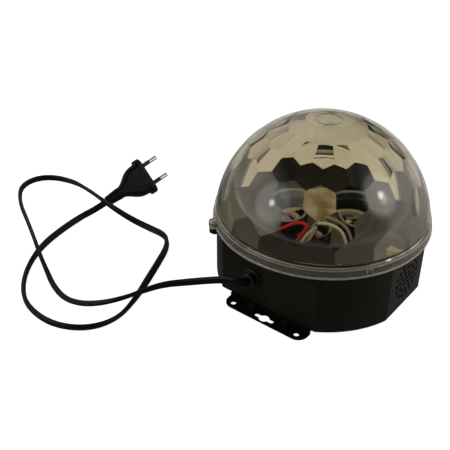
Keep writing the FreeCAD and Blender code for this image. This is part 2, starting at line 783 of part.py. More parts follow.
def make_light_unit():
    """Heat sink on brass posts, with its bush, the light board and six coloured lights in cups."""
    base = cylinder(sink_radius, sink_top - sink_base, sink_top)
    fins = []
    for index in range(sink_fin_count):
        fin = block(sink_bore_radius + sink_base, sink_radius - overrun, -sink_fin_thickness / 2,
                    sink_fin_thickness / 2, sink_top - sink_base - sink_fin_height, sink_top - sink_base)
        fins.append(fin.rotated(Vector(0, 0, 0), Vector(0, 0, 1), 360 * (index + 0.5) / sink_fin_count))
    clear = [cylinder_at(standoff_radius + standoff_play, sink_top - sink_base - sink_fin_height - overrun,
                         sink_top - sink_base, place) for place in standoff_places()]
    fins = group(fins).cut(group(clear))
    sleeve = cylinder(sink_bore_radius + sink_base + slip, sink_top - sink_base - sink_fin_height / 2,
                      sink_top - sink_base)
    holes = [cylinder_at(screw_radius + slip / 2, sink_top - sink_base - overrun, sink_top + overrun, place)
             for place in standoff_places()]
    holes.append(cylinder(sink_bore_radius, sink_top - sink_base - sink_fin_height - overrun,
                          sink_top + overrun))
    keep("heat_sink", joined([base, sleeve] + fins.Solids).cut(group(holes)))
    bush = cylinder(sink_bore_radius, sink_top - bush_height, sink_top)
    bush = bush.fuse(cylinder(bush_flange_radius, sink_top, sink_top + bush_flange_height))
    keep("spindle_bush", bush.cut(cylinder(spindle_radius + running_play, sink_top - bush_height - overrun,
                                           sink_top + bush_flange_height + overrun)))
    board = ring(led_board_radius, led_board_bore_radius, sink_top, led_board_top)
    keep("led_board", board.cut(group([cylinder_at(screw_radius + slip / 2, sink_top - overrun,
                                                   led_board_top + overrun, place)
                                       for place in standoff_places()])))
    for index, name in enumerate(led_names):
        place = polar(led_circle, led_first_azimuth + 360 * index / len(led_names))
        barrel_top = led_board_top + led_barrel_height
        base = cylinder_at(led_radius, led_board_top, barrel_top, place)
        lens = Part.makeSphere(led_radius, Vector(place.x, place.y, barrel_top))
        lens = lens.common(cylinder_at(led_radius + slip, barrel_top - led_radius / 2,
                                       barrel_top + led_radius + overrun, place))
        keep("led_" + name, base.fuse(lens))
    keep("light_cups", group([make_cup(polar(led_circle, led_first_azimuth + 360 * index / len(led_names)))
                              for index in range(len(led_names))]))
    standoffs = []
    for place in standoff_places():
        post = cylinder_at(standoff_radius, base_inner_floor, sink_top - sink_base, place)
        bore = cylinder_at(screw_radius, sink_top - sink_base - pilot_depth, sink_top, place)
        standoffs.append(post.cut(bore).fuse(
            cylinder_at(screw_radius, foot_height + overrun, base_inner_floor, place)))
    keep("light_unit_posts", group(standoffs))
    down = Vector(0, 0, -1)
    keep("led_board_screws", group([
        screw(Vector(place.x, place.y, led_board_top), down,
              led_board_thickness + sink_base + pilot_depth - overrun,
              screw_radius, screw_head_radius, screw_head_height) for place in standoff_places()]))


def make_motor():
    """Flat geared motor on two bosses, and the spindle and lens that it turns."""
    can = cylinder(motor_radius, motor_bottom, motor_top)
    round_edges = [edge for edge in can.Edges if isinstance(edge.Curve, Part.Circle)]
    can = can.makeFillet(motor_edge_round, round_edges)
    ears = centred_block(2 * motor_ear_reach, 2 * motor_ear_radius,
                         motor_top - motor_ear_thickness, motor_top)
    ends = [cylinder(motor_ear_radius, motor_top - motor_ear_thickness, motor_top, sign * motor_ear_reach)
            for sign in (-1, 1)]
    boss = cylinder(motor_boss_radius, motor_top, motor_top + motor_boss_height)
    holes = [cylinder(screw_radius + slip / 2, motor_top - 2 * motor_ear_thickness, motor_top + overrun,
                      sign * motor_ear_reach) for sign in (-1, 1)]
    holes.append(cylinder(shaft_radius + running_play, motor_top - shaft_depth_in_motor,
                          motor_top + motor_boss_height + overrun))
    keep("motor", joined([can, ears, boss] + ends).cut(group(holes)))
    down = Vector(0, 0, -1)
    keep("motor_screws", group([
        screw(Vector(sign * motor_ear_reach, 0, motor_top), down, pilot_depth, screw_radius,
              screw_head_radius, screw_head_height) for sign in (-1, 1)]))
    shaft = cylinder(shaft_radius, motor_top - shaft_depth_in_motor + slip, shaft_top)
    keep("motor_shaft", shaft)
    spindle = cylinder(spindle_radius, spindle_bottom, spindle_top)
    spindle = spindle.fuse(cylinder(spindle_flange_radius, spindle_top - spindle_flange_height,
                                    spindle_top))
    spindle = spindle.cut(cylinder(shaft_radius, spindle_bottom - overrun, shaft_top))
    keep("spindle", spindle.cut(cylinder(lens_stub_radius, spindle_top - lens_stub_length,
                                         spindle_top + overrun)))
    keep("turning_lens", make_lens())


def make_lens():
    """Pearly lens with many flat sides, on a stub that is pressed into the spindle."""
    rings = [[polar(radius, 360 * (side + 0.5) / lens_sides, spindle_top + height)
              for side in range(lens_sides)] for radius, height in lens_profile]
    faces = [Part.Face(Part.makePolygon(corners + corners[:1])) for corners in (rings[0], rings[-1])]
    for low, high in zip(rings, rings[1:]):
        for side in range(lens_sides):
            after = (side + 1) % lens_sides
            corners = [low[side], low[after], high[after], high[side], low[side]]
            faces.append(Part.Face(Part.makePolygon(corners)))
    lens = Part.makeSolid(Part.makeShell(faces))
    if lens.Volume < 0:
        lens.reverse()
    return lens.fuse(cylinder(lens_stub_radius, spindle_top - lens_stub_length + slip, spindle_top))


def lie_across(shape, side):
    """Turn a shape made along +Z so that it points inwards from a speaker wall."""
    shape = shape.rotated(Vector(0, 0, 0), Vector(0, 1, 0), -90 * side)
    return shape.translated(Vector(side * inner_side_flat, 0, speaker_height))


def make_speaker(side, word):
    """Small round speaker behind its grille: frame, cone and magnet."""
    frame = turned([(speaker_mouth_radius, 0), (speaker_radius, 0), (speaker_radius, speaker_flange),
                    (speaker_mouth_radius + basket_wall, speaker_flange),
                    (basket_end_radius, basket_depth), (cone_inner_radius, basket_depth),
                    (cone_inner_radius, basket_depth - basket_wall),
                    (basket_end_radius - basket_wall, basket_depth - basket_wall),
                    (speaker_mouth_radius, speaker_flange)])
    keep("speaker_frame_" + word, lie_across(frame, side))
    cone = turned([(0, cone_depth - dust_cap_height), (cone_inner_radius, cone_depth - overrun),
                   (speaker_mouth_radius - slip, speaker_flange / 2),
                   (speaker_mouth_radius - slip, speaker_flange / 2 + cone_wall),
                   (cone_inner_radius, cone_depth + cone_wall), (cone_inner_radius - slip, basket_depth),
                   (0, basket_depth)])
    keep("speaker_cone_" + word, lie_across(cone, side))
    magnet = cylinder(magnet_radius, basket_depth, basket_depth + magnet_length)
    magnet = magnet.makeFillet(slip, [edge for edge in magnet.Edges
                                      if isinstance(edge.Curve, Part.Circle) and
                                      edge.BoundBox.ZMin > basket_depth + overrun])
    keep("speaker_magnet_" + word, lie_across(magnet, side))


def make_speakers():
    """Both speakers, and the screws whose heads hold their flanges."""
    make_speaker(1, "right")
    make_speaker(-1, "left")
    screws = []
    for side in (-1, 1):
        screws += [screw(place, Vector(side, 0, 0), speaker_flange + base_wall / 2 - slip,
                         small_screw_radius, speaker_screw_head_radius, small_head_height)
                   for place in speaker_screw_places(side)]
    keep("speaker_screws", group(screws))


def make_power_board():
    """Mains supply board with its transformer, capacitor and terminal block."""
    board = centred_block(power_board_length, power_board_width, power_board_bottom, power_board_top,
                          0, power_board_y)
    holes = [cylinder_at(small_screw_radius + slip / 2, power_board_bottom - overrun,
                         power_board_top + overrun, place) for place in board_hole_places()]
    keep("power_board", board.cut(group(holes)))
    down = Vector(0, 0, -1)
    keep("power_board_screws", group([
        screw(Vector(place.x, place.y, power_board_top), down, board_thickness + base_floor / 2,
              small_screw_radius, small_head_radius, small_head_height) for place in board_hole_places()]))
    core_low = power_board_top + transformer_height * (1 - core_share) / 2
    core_high = power_board_top + transformer_height * (1 + core_share) / 2
    winding = centred_block(transformer_length, transformer_width, power_board_top,
                            power_board_top + transformer_height, transformer_x, power_board_y)
    upright = [edge for edge in winding.Edges if edge.BoundBox.ZLength > transformer_height / 2]
    winding = winding.makeFillet(core_overhang, upright)
    core = centred_block(transformer_length + 2 * core_overhang, transformer_width * core_share,
                         core_low, core_high, transformer_x, power_board_y)
    keep("transformer", winding.fuse(core))
    can = cylinder(capacitor_radius, power_board_top, power_board_top + capacitor_height,
                   capacitor_x, power_board_y)
    can = can.makeFillet(slip, [edge for edge in can.Edges if isinstance(edge.Curve, Part.Circle)])
    keep("capacitor", can)
    block_low = centred_block(terminal_length, terminal_width, power_board_top,
                              power_board_top + terminal_height, terminal_x, power_board_y)
    wells = [cylinder(terminal_well_radius, power_board_top + terminal_height - overrun,
                      power_board_top + terminal_height + overrun, terminal_x + sign * terminal_length / 4,
                      power_board_y) for sign in (-1, 1)]
    keep("terminal_block", block_low.cut(group(wells)))


def make_control_panel():
    """Control board behind the +Y wall, its switches, keys, sockets and window."""
    half = control_board_length / 2
    board = block(-half, half, control_board_y, control_face_y, control_board_low, control_board_high)
    holes = [rod(small_screw_radius + slip / 2, Vector(x, control_board_y - overrun, z), Vector(0, 1, 0),
                 board_thickness + 2 * overrun) for x, z in control_hole_places()]
    keep("control_board", board.cut(group(holes)))
    out = Vector(0, 1, 0)
    keep("control_board_screws", group([
        screw(Vector(x, control_board_y, z), out, board_thickness + pilot_depth - overrun,
              small_screw_radius, small_head_radius, small_head_height) for x, z in control_hole_places()]))
    switches = []
    for x, name in zip(key_places(), key_names):
        case = block(x - switch_size / 2, x + switch_size / 2,
                     control_face_y, control_face_y + switch_height,
                     key_height - switch_size / 2, key_height + switch_size / 2)
        switches.append(case)
        stem_start = control_face_y + switch_height + key_travel + stem_play
        stem = rod(key_radius / 2, Vector(x, stem_start, key_height), out, inner_wide_flat - stem_start)
        collar_start = Vector(x, inner_wide_flat - slip - key_collar_thickness, key_height)
        collar = rod(key_collar_radius, collar_start, out, key_collar_thickness)
        cap = rod(key_radius, collar_start, out, wide_flat + key_proud - collar_start.y)
        rounded = [edge for edge in cap.Edges if edge.BoundBox.YMin > wide_flat and
                   isinstance(edge.Curve, Part.Circle)]
        cap = cap.makeFillet(key_proud / 2, rounded)
        keep("key_" + name, joined([stem, collar, cap]))
    keep("key_switches", group(switches))
    keep("usb_socket", make_usb_socket())
    case = block(usb_x - card_width / 2 + slip, usb_x + card_width / 2 - slip, control_face_y,
                 wide_flat - card_recess, card_height - card_thickness / 2 + slip / 2,
                 card_height + card_thickness / 2 - slip / 2)
    mouth = block(usb_x - card_width / 2 + slip + card_wall, usb_x + card_width / 2 - slip - card_wall,
                  control_face_y + card_wall, wide_flat,
                  card_height - card_thickness / 2 + slip / 2 + card_wall,
                  card_height + card_thickness / 2 - slip / 2 - card_wall)
    keep("card_slot", case.cut(mouth))
    window = rod(window_radius, Vector(window_x, inner_wide_flat - slip, window_height), out,
                 base_wall + slip + window_proud)
    backing = rod(window_collar_radius, Vector(window_x, control_face_y, window_height), out,
                  inner_wide_flat - control_face_y)
    keep("signal_window", window.fuse(backing))


def make_usb_socket():
    """Metal-shelled socket with its tongue, open to the panel's face."""
    low = key_height - usb_thickness / 2
    high = key_height + usb_thickness / 2
    shell = block(usb_x - usb_width / 2, usb_x + usb_width / 2, control_face_y, wide_flat, low, high)
    mouth = block(usb_x - usb_width / 2 + usb_wall, usb_x + usb_width / 2 - usb_wall,
                  wide_flat - usb_depth, wide_flat + overrun, low + usb_wall, high - usb_wall)
    tongue = block(usb_x - usb_width / 2 + usb_tongue_inset, usb_x + usb_width / 2 - usb_tongue_inset,
                   wide_flat - usb_depth, wide_flat - usb_tongue_inset,
                   high - usb_wall - usb_tongue_thickness, high - usb_wall)
    return shell.cut(mouth).fuse(tongue)


def make_gland():
    """Rubber bush that holds the cord where it passes the wall."""
    flange_y = -wide_flat - gland_flange_thickness
    inside_y = -inner_wide_flat + gland_flange_thickness
    out = Vector(0, -1, 0)
    flange = rod(gland_flange_radius, Vector(gland_x, -wide_flat, gland_height), out,
                 gland_flange_thickness)
    flange = flange.makeFillet(gland_flange_thickness / 2,
                               [edge for edge in flange.Edges if isinstance(edge.Curve, Part.Circle) and
                                edge.BoundBox.YMax < flange_y + near])
    nose = rod(gland_nose_radius, Vector(gland_x, -wide_flat, gland_height), out, -wide_flat - gland_tip_y)
    nose = nose.makeFillet(gland_flange_thickness / 2,
                           [edge for edge in nose.Edges if isinstance(edge.Curve, Part.Circle) and
                            edge.BoundBox.YMax < gland_tip_y + near])
    neck = rod(gland_neck_radius, Vector(gland_x, inside_y, gland_height), out, inside_y + wide_flat)
    inner = rod(gland_neck_radius + overrun, Vector(gland_x, inside_y, gland_height), out,
                inside_y + inner_wide_flat)
    recess = rod(gland_recess_radius, Vector(gland_x, gland_tip_y + gland_recess_depth, gland_height), out,
                 gland_recess_depth + overrun)
    keep("strain_relief", joined([flange, nose, neck, inner]).cut(recess))


def arc_tube(points, diameter, label):
    """Tube along straight runs joined by tangent arcs, as large as their two runs allow."""
    points = [Vector(*point) for point in points]
    edges = []
    start = points[0]
    smallest = None
    for index in range(1, len(points) - 1):
        before = points[index] - points[index - 1]
        after = points[index + 1] - points[index]
        turn = before.getAngle(after)
        trim = arc_share * min(before.Length, after.Length)
        radius = trim / math.tan(turn / 2)
        smallest = radius if smallest is None else min(smallest, radius)
        enter = points[index] - before.normalize() * trim
        leave = points[index] + after.normalize() * trim
        towards = enter + leave - points[index] * 2
        towards.normalize()
        centre = points[index] + towards * math.hypot(radius, trim)
        middle = centre - towards * radius
        edges.append(Part.LineSegment(start, enter).toShape())
        edges.append(Part.Arc(enter, middle, leave).toShape())
        start = leave
    edges.append(Part.LineSegment(start, points[-1]).toShape())
    wire = Part.Wire(edges)
    length = wire.Length
    first = (points[1] - points[0]).normalize()
    section = Part.Wire([Part.Circle(points[0], first, diameter / 2).toShape()])
    tube = wire.makePipeShell([section], True, False)
    expected = math.pi * diameter ** 2 / 4 * length
    print(label, "length", round(length, 1), "smallest radius", round(smallest, 1),
          "volume share", round(tube.Volume / expected, 4), "valid", tube.isValid())
    return tube


def make_mains_cord():
    """Flat two-core cord as a plain tube along its route, and the leads inside the base."""
    keep("mains_cord", arc_tube(cord_route, cord_diameter, "mains_cord"))
    inside_y = -inner_wide_flat + gland_flange_thickness
    leads = []
    for sign in (-1, 1):
        x = gland_x + sign * lead_pitch / 2
        end_x = terminal_x + sign * terminal_length / 4
        low = power_board_top + terminal_height
        points = ((x, inside_y, gland_height), (x, inside_y + lead_bend, gland_height),
                  (end_x, power_board_y - slip, low + lead_rise),
                  (end_x, power_board_y, low + slip - overrun))
        leads.append(arc_tube(points, wire_diameter, "mains_lead"))
    keep("mains_leads", group(leads))


def plug_frame():
    """Centre of the plug's front face, and its axis, width and thickness directions."""
    azimuth = math.radians(plug_azimuth)
    tilt = math.radians(plug_tilt)
    roll = math.radians(plug_roll)
    axis = Vector(math.cos(tilt) * math.cos(azimuth), math.cos(tilt) * math.sin(azimuth), math.sin(tilt))
    level = Vector(-math.sin(azimuth), math.cos(azimuth), 0)
    upright = axis.cross(level)
    width = level * math.cos(roll) + upright * math.sin(roll)
    front = Vector(*cord_route[-1]) + axis * plug_length
    return front, axis, width, axis.cross(width)


def plug_section(frame, distance, width, thickness):
    """Rounded rectangular outline across the plug, at a distance behind its front face."""
    front, axis, across, through = frame
    centre = front - axis * distance
    corner = thickness * corner_share
    half_width = width / 2 - corner
    half_thickness = thickness / 2 - corner
    corners = []
    for index, (sx, sy) in enumerate(((1, 1), (-1, 1), (-1, -1), (1, -1))):
        middle = centre + across * (sx * half_width) + through * (sy * half_thickness)
        angles = [math.pi / 4 * (2 * index + step) for step in range(3)]
        corners.append([middle + (across * math.cos(angle) + through * math.sin(angle)) * corner
                        for angle in angles])
    outline = []
    for index, (start, middle, end) in enumerate(corners):
        following = corners[(index + 1) % len(corners)][0]
        outline.append(Part.Arc(start, middle, end).toShape())
        outline.append(Part.LineSegment(end, following).toShape())
    return Part.Wire(outline)


def make_plug():
    """Flat two-pin mains plug: moulded body, two pins and their insulating sleeves."""
    frame = plug_frame()
    front, axis, across, through = frame
    flange = Part.makeLoft([plug_section(frame, 0, plug_width, plug_thickness),
                            plug_section(frame, plug_flange, plug_width, plug_thickness)], True, True)
    bell_length = plug_neck_start - plug_flange
    sections = []
    for distance_share, width_share in zip(bell_distance_shares, bell_width_shares):
        thin = bell_thickness + (plug_neck_thickness - bell_thickness) * distance_share
        width = max(plug_neck_width, bell_width * width_share)
        sections.append(plug_section(frame, plug_flange + bell_length * distance_share, width, thin))
    bell = Part.makeLoft(sections, True, False)
    neck = Part.makeLoft([plug_section(frame, plug_neck_start, plug_neck_width, plug_neck_thickness),
                          plug_section(frame, plug_length, plug_end_width, plug_end_thickness)], True, True)
    body = joined([flange, bell, neck])
    pitch = (plug_length - plug_neck_start) / (rib_count + 1)
    for index in range(rib_count):
        distance = plug_neck_start + pitch * (index + 1) - rib_groove_width / 2
        share = (distance - plug_neck_start) / (plug_length - plug_neck_start)
        wide = plug_neck_width + (plug_end_width - plug_neck_width) * share
        thick = plug_neck_thickness + (plug_end_thickness - plug_neck_thickness) * share
        outer = Part.makeLoft([plug_section(frame, distance + step, wide + 2 * overrun, thick + 2 * overrun)
                               for step in (0, rib_groove_width)], True, True)
        inner = Part.makeLoft([plug_section(frame, distance + step, wide - 2 * rib_groove_depth,
                                            thick - 2 * rib_groove_depth)
                               for step in (-slip, rib_groove_width + slip)], True, True)
        body = body.cut(outer.cut(inner))
    pins = []
    sleeves = []
    for sign in (-1, 1):
        root = front + across * (sign * pin_spacing / 2)
        body = body.cut(rod(pin_core_radius, root - axis * pin_root, axis, pin_root + overrun))
        core = rod(pin_core_radius, root - axis * pin_root, axis, pin_root + sleeve_length + overrun)
        tip = rod(pin_radius, root + axis * sleeve_length, axis, pin_length - sleeve_length)
        end = root + axis * pin_length
        tip_edges = [edge for edge in tip.Edges if isinstance(edge.Curve, Part.Circle) and
                     (edge.Curve.Center - end).Length < near]
        tip = tip.makeFillet(pin_radius / 2, tip_edges)
        pins.append(core.fuse(tip))
        sleeve = rod(pin_radius, root, axis, sleeve_length)
        sleeves.append(sleeve.cut(rod(pin_core_radius, root - axis * overrun, axis,
                                      sleeve_length + 2 * overrun)))
    keep("plug_body", body)
    keep("plug_pins", group(pins))
    keep("plug_sleeves", group(sleeves))


def make_inner_wires():
    """Connector on the light board with its four wires, and the speaker lead connector."""
    connector = centred_block(connector_length, connector_width, led_board_top,
                              led_board_top + connector_height, 0, connector_y)
    keep("wire_connector", connector)
    for name, route, end in (("wire_red", red_wire_route, red_wire_end),
                             ("wire_black", black_wire_route, black_wire_end),
                             ("wire_white", white_wire_route, white_wire_end),
                             ("wire_grey", grey_wire_route, grey_wire_end)):
        points = list(route) + [(x, power_board_y + y, z) for x, y, z in end]
        keep(name, arc_tube(points, wire_diameter, name))
    lead = centred_block(lead_connector_length, lead_connector_width, deck_top,
                         deck_top + lead_connector_height, lead_connector_x, lead_connector_y)
    keep("speaker_connector", lead)


def main():
    """Make every sub-part and write one STEP file for each."""
    keep("housing", make_housing())
    keep("dome_cover", make_dome())
    make_rim_parts()
    make_bracket()
    make_deck()
    make_light_unit()
    make_motor()
    make_speakers()
    make_power_board()
    make_control_panel()
    make_gland()
    make_mains_cord()
    make_plug()
    make_inner_wires()
    os.makedirs("parts", exist_ok=True)
    for name, shape in NODES.items():
        shape.exportStep("parts/" + name + ".step")
        box = shape.BoundBox
        print(name, "solids", len(shape.Solids), "volume", round(shape.Volume, 1), "valid", shape.isValid(),
              [round(v, 1) for v in (box.XMin, box.YMin, box.ZMin, box.XMax, box.YMax, box.ZMax)])
    print("nodes", len(NODES))


main()
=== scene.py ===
# %% [markdown]
# # A domed effect light, dressed for its portrait
#
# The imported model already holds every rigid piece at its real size. This file gives those
# pieces their finish and makes anew what a solid modeller can't show well: the clear dome, whose
# outside is a true sphere while its inside is cut into flat facets, and the limp flat cord.

import json
import math

import bmesh
import bpy
import numpy as np
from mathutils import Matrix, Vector


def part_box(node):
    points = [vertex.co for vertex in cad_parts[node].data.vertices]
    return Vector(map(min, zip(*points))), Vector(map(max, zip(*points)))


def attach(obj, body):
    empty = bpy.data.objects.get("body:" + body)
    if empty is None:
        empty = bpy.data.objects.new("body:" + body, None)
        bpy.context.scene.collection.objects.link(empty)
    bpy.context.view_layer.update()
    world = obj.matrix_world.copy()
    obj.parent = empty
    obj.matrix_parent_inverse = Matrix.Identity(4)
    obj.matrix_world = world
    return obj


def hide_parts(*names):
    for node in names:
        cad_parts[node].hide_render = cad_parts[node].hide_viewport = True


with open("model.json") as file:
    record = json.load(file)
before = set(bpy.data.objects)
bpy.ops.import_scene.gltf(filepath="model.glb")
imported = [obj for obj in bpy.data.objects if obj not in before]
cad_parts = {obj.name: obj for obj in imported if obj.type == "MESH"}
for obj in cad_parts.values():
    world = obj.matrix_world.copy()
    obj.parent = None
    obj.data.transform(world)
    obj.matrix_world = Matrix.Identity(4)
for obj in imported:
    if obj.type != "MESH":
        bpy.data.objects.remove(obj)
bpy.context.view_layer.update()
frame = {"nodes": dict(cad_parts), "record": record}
MM = 0.001

# %% [markdown]
# ## Camera
#
# A portrait is easiest to match when the camera is fixed first. The place, the heading and the
# pitch below were measured from straight edges of known size, so nothing has to be tilted or
# shifted afterwards. A heading counts anticlockwise from +X, as on a map.

# %% Camera
camera_place = Vector((246.1, -425.5, 364.1)) * MM
camera_heading = math.radians(128.6)
camera_pitch = math.radians(33.384)
focal_length_mm = 60.587
sensor_width_mm = 36.0
nearest_seen = 0.02

lens = bpy.data.cameras.new("camera")
lens.lens = focal_length_mm
lens.sensor_width = sensor_width_mm
lens.clip_start = nearest_seen
camera = bpy.data.objects.new("camera", lens)
camera.location = camera_place
camera.rotation_euler = (math.pi / 2 - camera_pitch, 0, camera_heading - math.pi / 2)
bpy.context.scene.collection.objects.link(camera)
bpy.context.scene.camera = camera
bpy.context.scene.view_settings.view_transform = "Standard"
print("camera", [round(value, 3) for value in camera_place])

# %% [markdown]
# ## Helpers for meshes
#
# Every new surface here is a grid of points worked out as one array. A grid has rows and
# columns, and its faces join each point to its neighbours. Faces point outwards when the
# columns run anticlockwise as seen from outside while the rows run upwards.


# %% Mesh helpers
def grid_faces(rows, columns, start=0, wrap=False):
    """Quads of a rows by columns grid of points. wrap joins the last column to the first."""
    last = columns if wrap else columns - 1
    row, column = np.meshgrid(np.arange(rows - 1), np.arange(last), indexing="ij")
    right = (column + 1) % columns
    low = row * columns
    high = low + columns
    quads = np.stack([low + column, low + right, high + right, high + column], -1)
    return (quads.reshape(-1, 4) + start).tolist()


def merged(mesh, distance):
    """Join points closer than a distance, turn faces outwards, and count the open edges."""
    shape = bmesh.new()
    shape.from_mesh(mesh)
    bmesh.ops.remove_doubles(shape, verts=shape.verts, dist=distance)
    bmesh.ops.recalc_face_normals(shape, faces=shape.faces)
    open_edges = sum(1 for edge in shape.edges if not edge.is_manifold)
    shape.to_mesh(mesh)
    shape.free()
    return open_edges


def piece(name, points, faces, material, body, smooth_angle=30.0, smooth=None,
          weld=0.001 * MM):
    """A new piece from points in metres: merged, shaded smooth below an angle, riding on a body."""
    mesh = bpy.data.meshes.new(name)
    mesh.from_pydata(np.asarray(points, float).tolist(), [], faces)
    flags = np.ones(len(faces), bool) if smooth is None else np.asarray(smooth, bool)
    mesh.polygons.foreach_set("use_smooth", flags)
    open_edges = merged(mesh, weld)
    kept = np.empty(len(mesh.polygons), bool)
    mesh.polygons.foreach_get("use_smooth", kept)
    mesh.set_sharp_from_angle(angle=math.radians(smooth_angle))
    mesh.polygons.foreach_set("use_smooth", kept)
    mesh.materials.append(material)
    thing = bpy.data.objects.new(name, mesh)
    bpy.context.scene.collection.objects.link(thing)
    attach(thing, body)
    print(name, "points", len(mesh.vertices), "faces", len(mesh.polygons), "open edges", open_edges)
    return thing


# %% [markdown]
# ## Helpers for materials
#
# Real finishes are never one flat colour. Each material starts from a principled shader whose
# plain numbers are set on its own sockets, and then gets three quiet layers from procedural
# noise: the colour drifts a little, the gloss drifts a little, and a fine bump catches light.


# %% Material helpers
noise_middle = (0.3, 0.7)


def node(tree, kind, inputs=None, **settings):
    """Add a node, set its properties, and set or link its inputs by name or number."""
    made = tree.nodes.new(kind)
    for key, value in settings.items():
        setattr(made, key, value)
    for key, value in (inputs or {}).items():
        if isinstance(value, bpy.types.NodeSocket):
            tree.links.new(value, made.inputs[key])
        else:
            made.inputs[key].default_value = value
    return made


def maths(tree, operation, first, second=0.0):
    """Output of one arithmetic node."""
    return node(tree, "ShaderNodeMath", {0: first, 1: second}, operation=operation).outputs[0]


def spread(tree, value, source, target=(0.0, 1.0), soft=False):
    """A value carried from a source range to a target range, straight or with soft ends."""
    kind = "SMOOTHSTEP" if soft else "LINEAR"
    ends = {"From Min": source[0], "From Max": source[1], "To Min": target[0], "To Max": target[1]}
    made = node(tree, "ShaderNodeMapRange", {"Value": value, **ends}, interpolation_type=kind)
    return made.outputs["Result"]


def hypotenuse(tree, across, up):
    """Square root of the sum of two squares."""
    across = maths(tree, "MULTIPLY", across, across)
    up = maths(tree, "MULTIPLY", up, up)
    return maths(tree, "SQRT", maths(tree, "ADD", across, up))


def coordinates(tree):
    """Outputs X, Y and Z: the shaded point in its object's own axes."""
    place = node(tree, "ShaderNodeTexCoord").outputs["Object"]
    return node(tree, "ShaderNodeSeparateXYZ", {0: place}).outputs


def new_material(name, **sockets):
    """A material with a principled shader. coat_weight=0.4 sets its socket Coat Weight."""
    material = bpy.data.materials.new(name)
    material.use_nodes = True
    tree = material.node_tree
    shader = tree.nodes["Principled BSDF"]
    for key, value in sockets.items():
        shader.inputs[key.replace("_", " ").title().replace("Ior", "IOR")].default_value = value
    return material, tree, shader


def noise(tree, scale, detail=3.0, stretch=(1, 1, 1)):
    """Noise on object coordinates; scale counts features per metre, stretch squeezes each axis."""
    place = node(tree, "ShaderNodeTexCoord").outputs["Object"]
    fitted = node(tree, "ShaderNodeMapping", {"Vector": place, "Scale": stretch})
    return node(tree, "ShaderNodeTexNoise", {"Vector": fitted.outputs[0], "Scale": scale,
                                            "Detail": detail}).outputs["Fac"]


def colour_between(tree, shader, factor, dark, pale, low=noise_middle[0], high=noise_middle[1]):
    """Base colour that runs from dark to pale as a factor runs from low to high."""
    ramp = node(tree, "ShaderNodeValToRGB", {"Fac": factor})
    ramp.color_ramp.elements[0].position = low
    ramp.color_ramp.elements[0].color = (*dark, 1)
    ramp.color_ramp.elements[1].position = high
    ramp.color_ramp.elements[1].color = (*pale, 1)
    tree.links.new(ramp.outputs["Color"], shader.inputs["Base Color"])


def gloss_between(tree, shader, factor, low, high):
    """Roughness that runs from low to high over the middle range of a noise."""
    tree.links.new(spread(tree, factor, noise_middle, (low, high)), shader.inputs["Roughness"])


def bump(tree, shader, height, depth_mm, strength=1.0):
    """Bump from a height factor, with its depth in millimetres."""
    raised = node(tree, "ShaderNodeBump", {"Height": height, "Strength": strength,
                                          "Distance": depth_mm * MM})
    tree.links.new(raised.outputs["Normal"], shader.inputs["Normal"])


def shade(colour, share):
    """A colour made darker or paler by a share."""
    return tuple(min(value * share, 1.0) for value in colour)


def moulded(name, colour, roughness, grain, depth_mm, drift, **sockets):
    """Moulded plastic or rubber: spark-eroded grain, faint flow marks and an uneven gloss."""
    material, tree, shader = new_material(name, **sockets)
    flow = noise(tree, scale=28, detail=4, stretch=(1, 1, 0.45))
    fine = noise(tree, scale=grain, detail=2)
    colour_between(tree, shader, flow, shade(colour, 1 - drift), shade(colour, 1 + drift))
    gloss_between(tree, shader, flow, roughness - 0.05, roughness + 0.06)
    bump(tree, shader, fine, depth_mm, strength=0.5)
    return material


def metal(name, colour, roughness, stretch, drift=0.1):
    """Plated, drawn or cast metal with lines along one way and a cloudy plating."""
    material, tree, shader = new_material(name, metallic=1.0)
    cloud = noise(tree, scale=90, detail=4)
    lines = noise(tree, scale=700, detail=2, stretch=stretch)
    colour_between(tree, shader, cloud, shade(colour, 1 - drift), shade(colour, 1 + drift))
    gloss_between(tree, shader, lines, roughness - 0.08, roughness + 0.1)
    bump(tree, shader, lines, depth_mm=0.01, strength=0.4)
    return material


def circuit(name, colour, track):
    """Circuit board: solder mask with raised tracks under it and a resin gloss."""
    material, tree, shader = new_material(name, coat_weight=0.4)
    place = node(tree, "ShaderNodeTexCoord").outputs["Object"]
    cells = node(tree, "ShaderNodeTexVoronoi", {"Vector": place, "Scale": 260.0},
                 feature="DISTANCE_TO_EDGE", distance="MANHATTAN")
    edge = spread(tree, cells.outputs["Distance"], (0.04, 0.10), (1.0, 0.0))
    colour_between(tree, shader, edge, colour, track, low=0.0, high=1.0)
    gloss_between(tree, shader, noise(tree, scale=200), 0.25, 0.38)
    bump(tree, shader, edge, depth_mm=0.035, strength=0.6)
    return material


def pearly(name, dark, pale):
    """Pearly plastic: long swirls of flakes under a clear skin, which catch light unevenly."""
    material, tree, shader = new_material(name, metallic=0.35, coat_weight=1.0, coat_roughness=0.04)
    swirl = noise(tree, scale=75, detail=5, stretch=(1, 1, 2.2))
    colour_between(tree, shader, swirl, dark, pale, low=0.38, high=0.62)
    gloss_between(tree, shader, noise(tree, scale=160), 0.12, 0.32)
    bump(tree, shader, swirl, depth_mm=0.6, strength=0.5)
    return material


# %% [markdown]
# ## Finishes
#
# The record names one material slot for each finish, so a table from slot to material dresses
# all the solids in one loop. Pieces made new below take their material from the same table.
#
# A moulded finish has a colour, a roughness, the number of grains in a metre, their depth in
# millimetres and the drift of its colour. A metal has a colour, a roughness, and the way its
# lines run: the axis with the large number is squeezed, so the lines lie across it. The lights
# and a few other finishes set more of the shader's sockets.

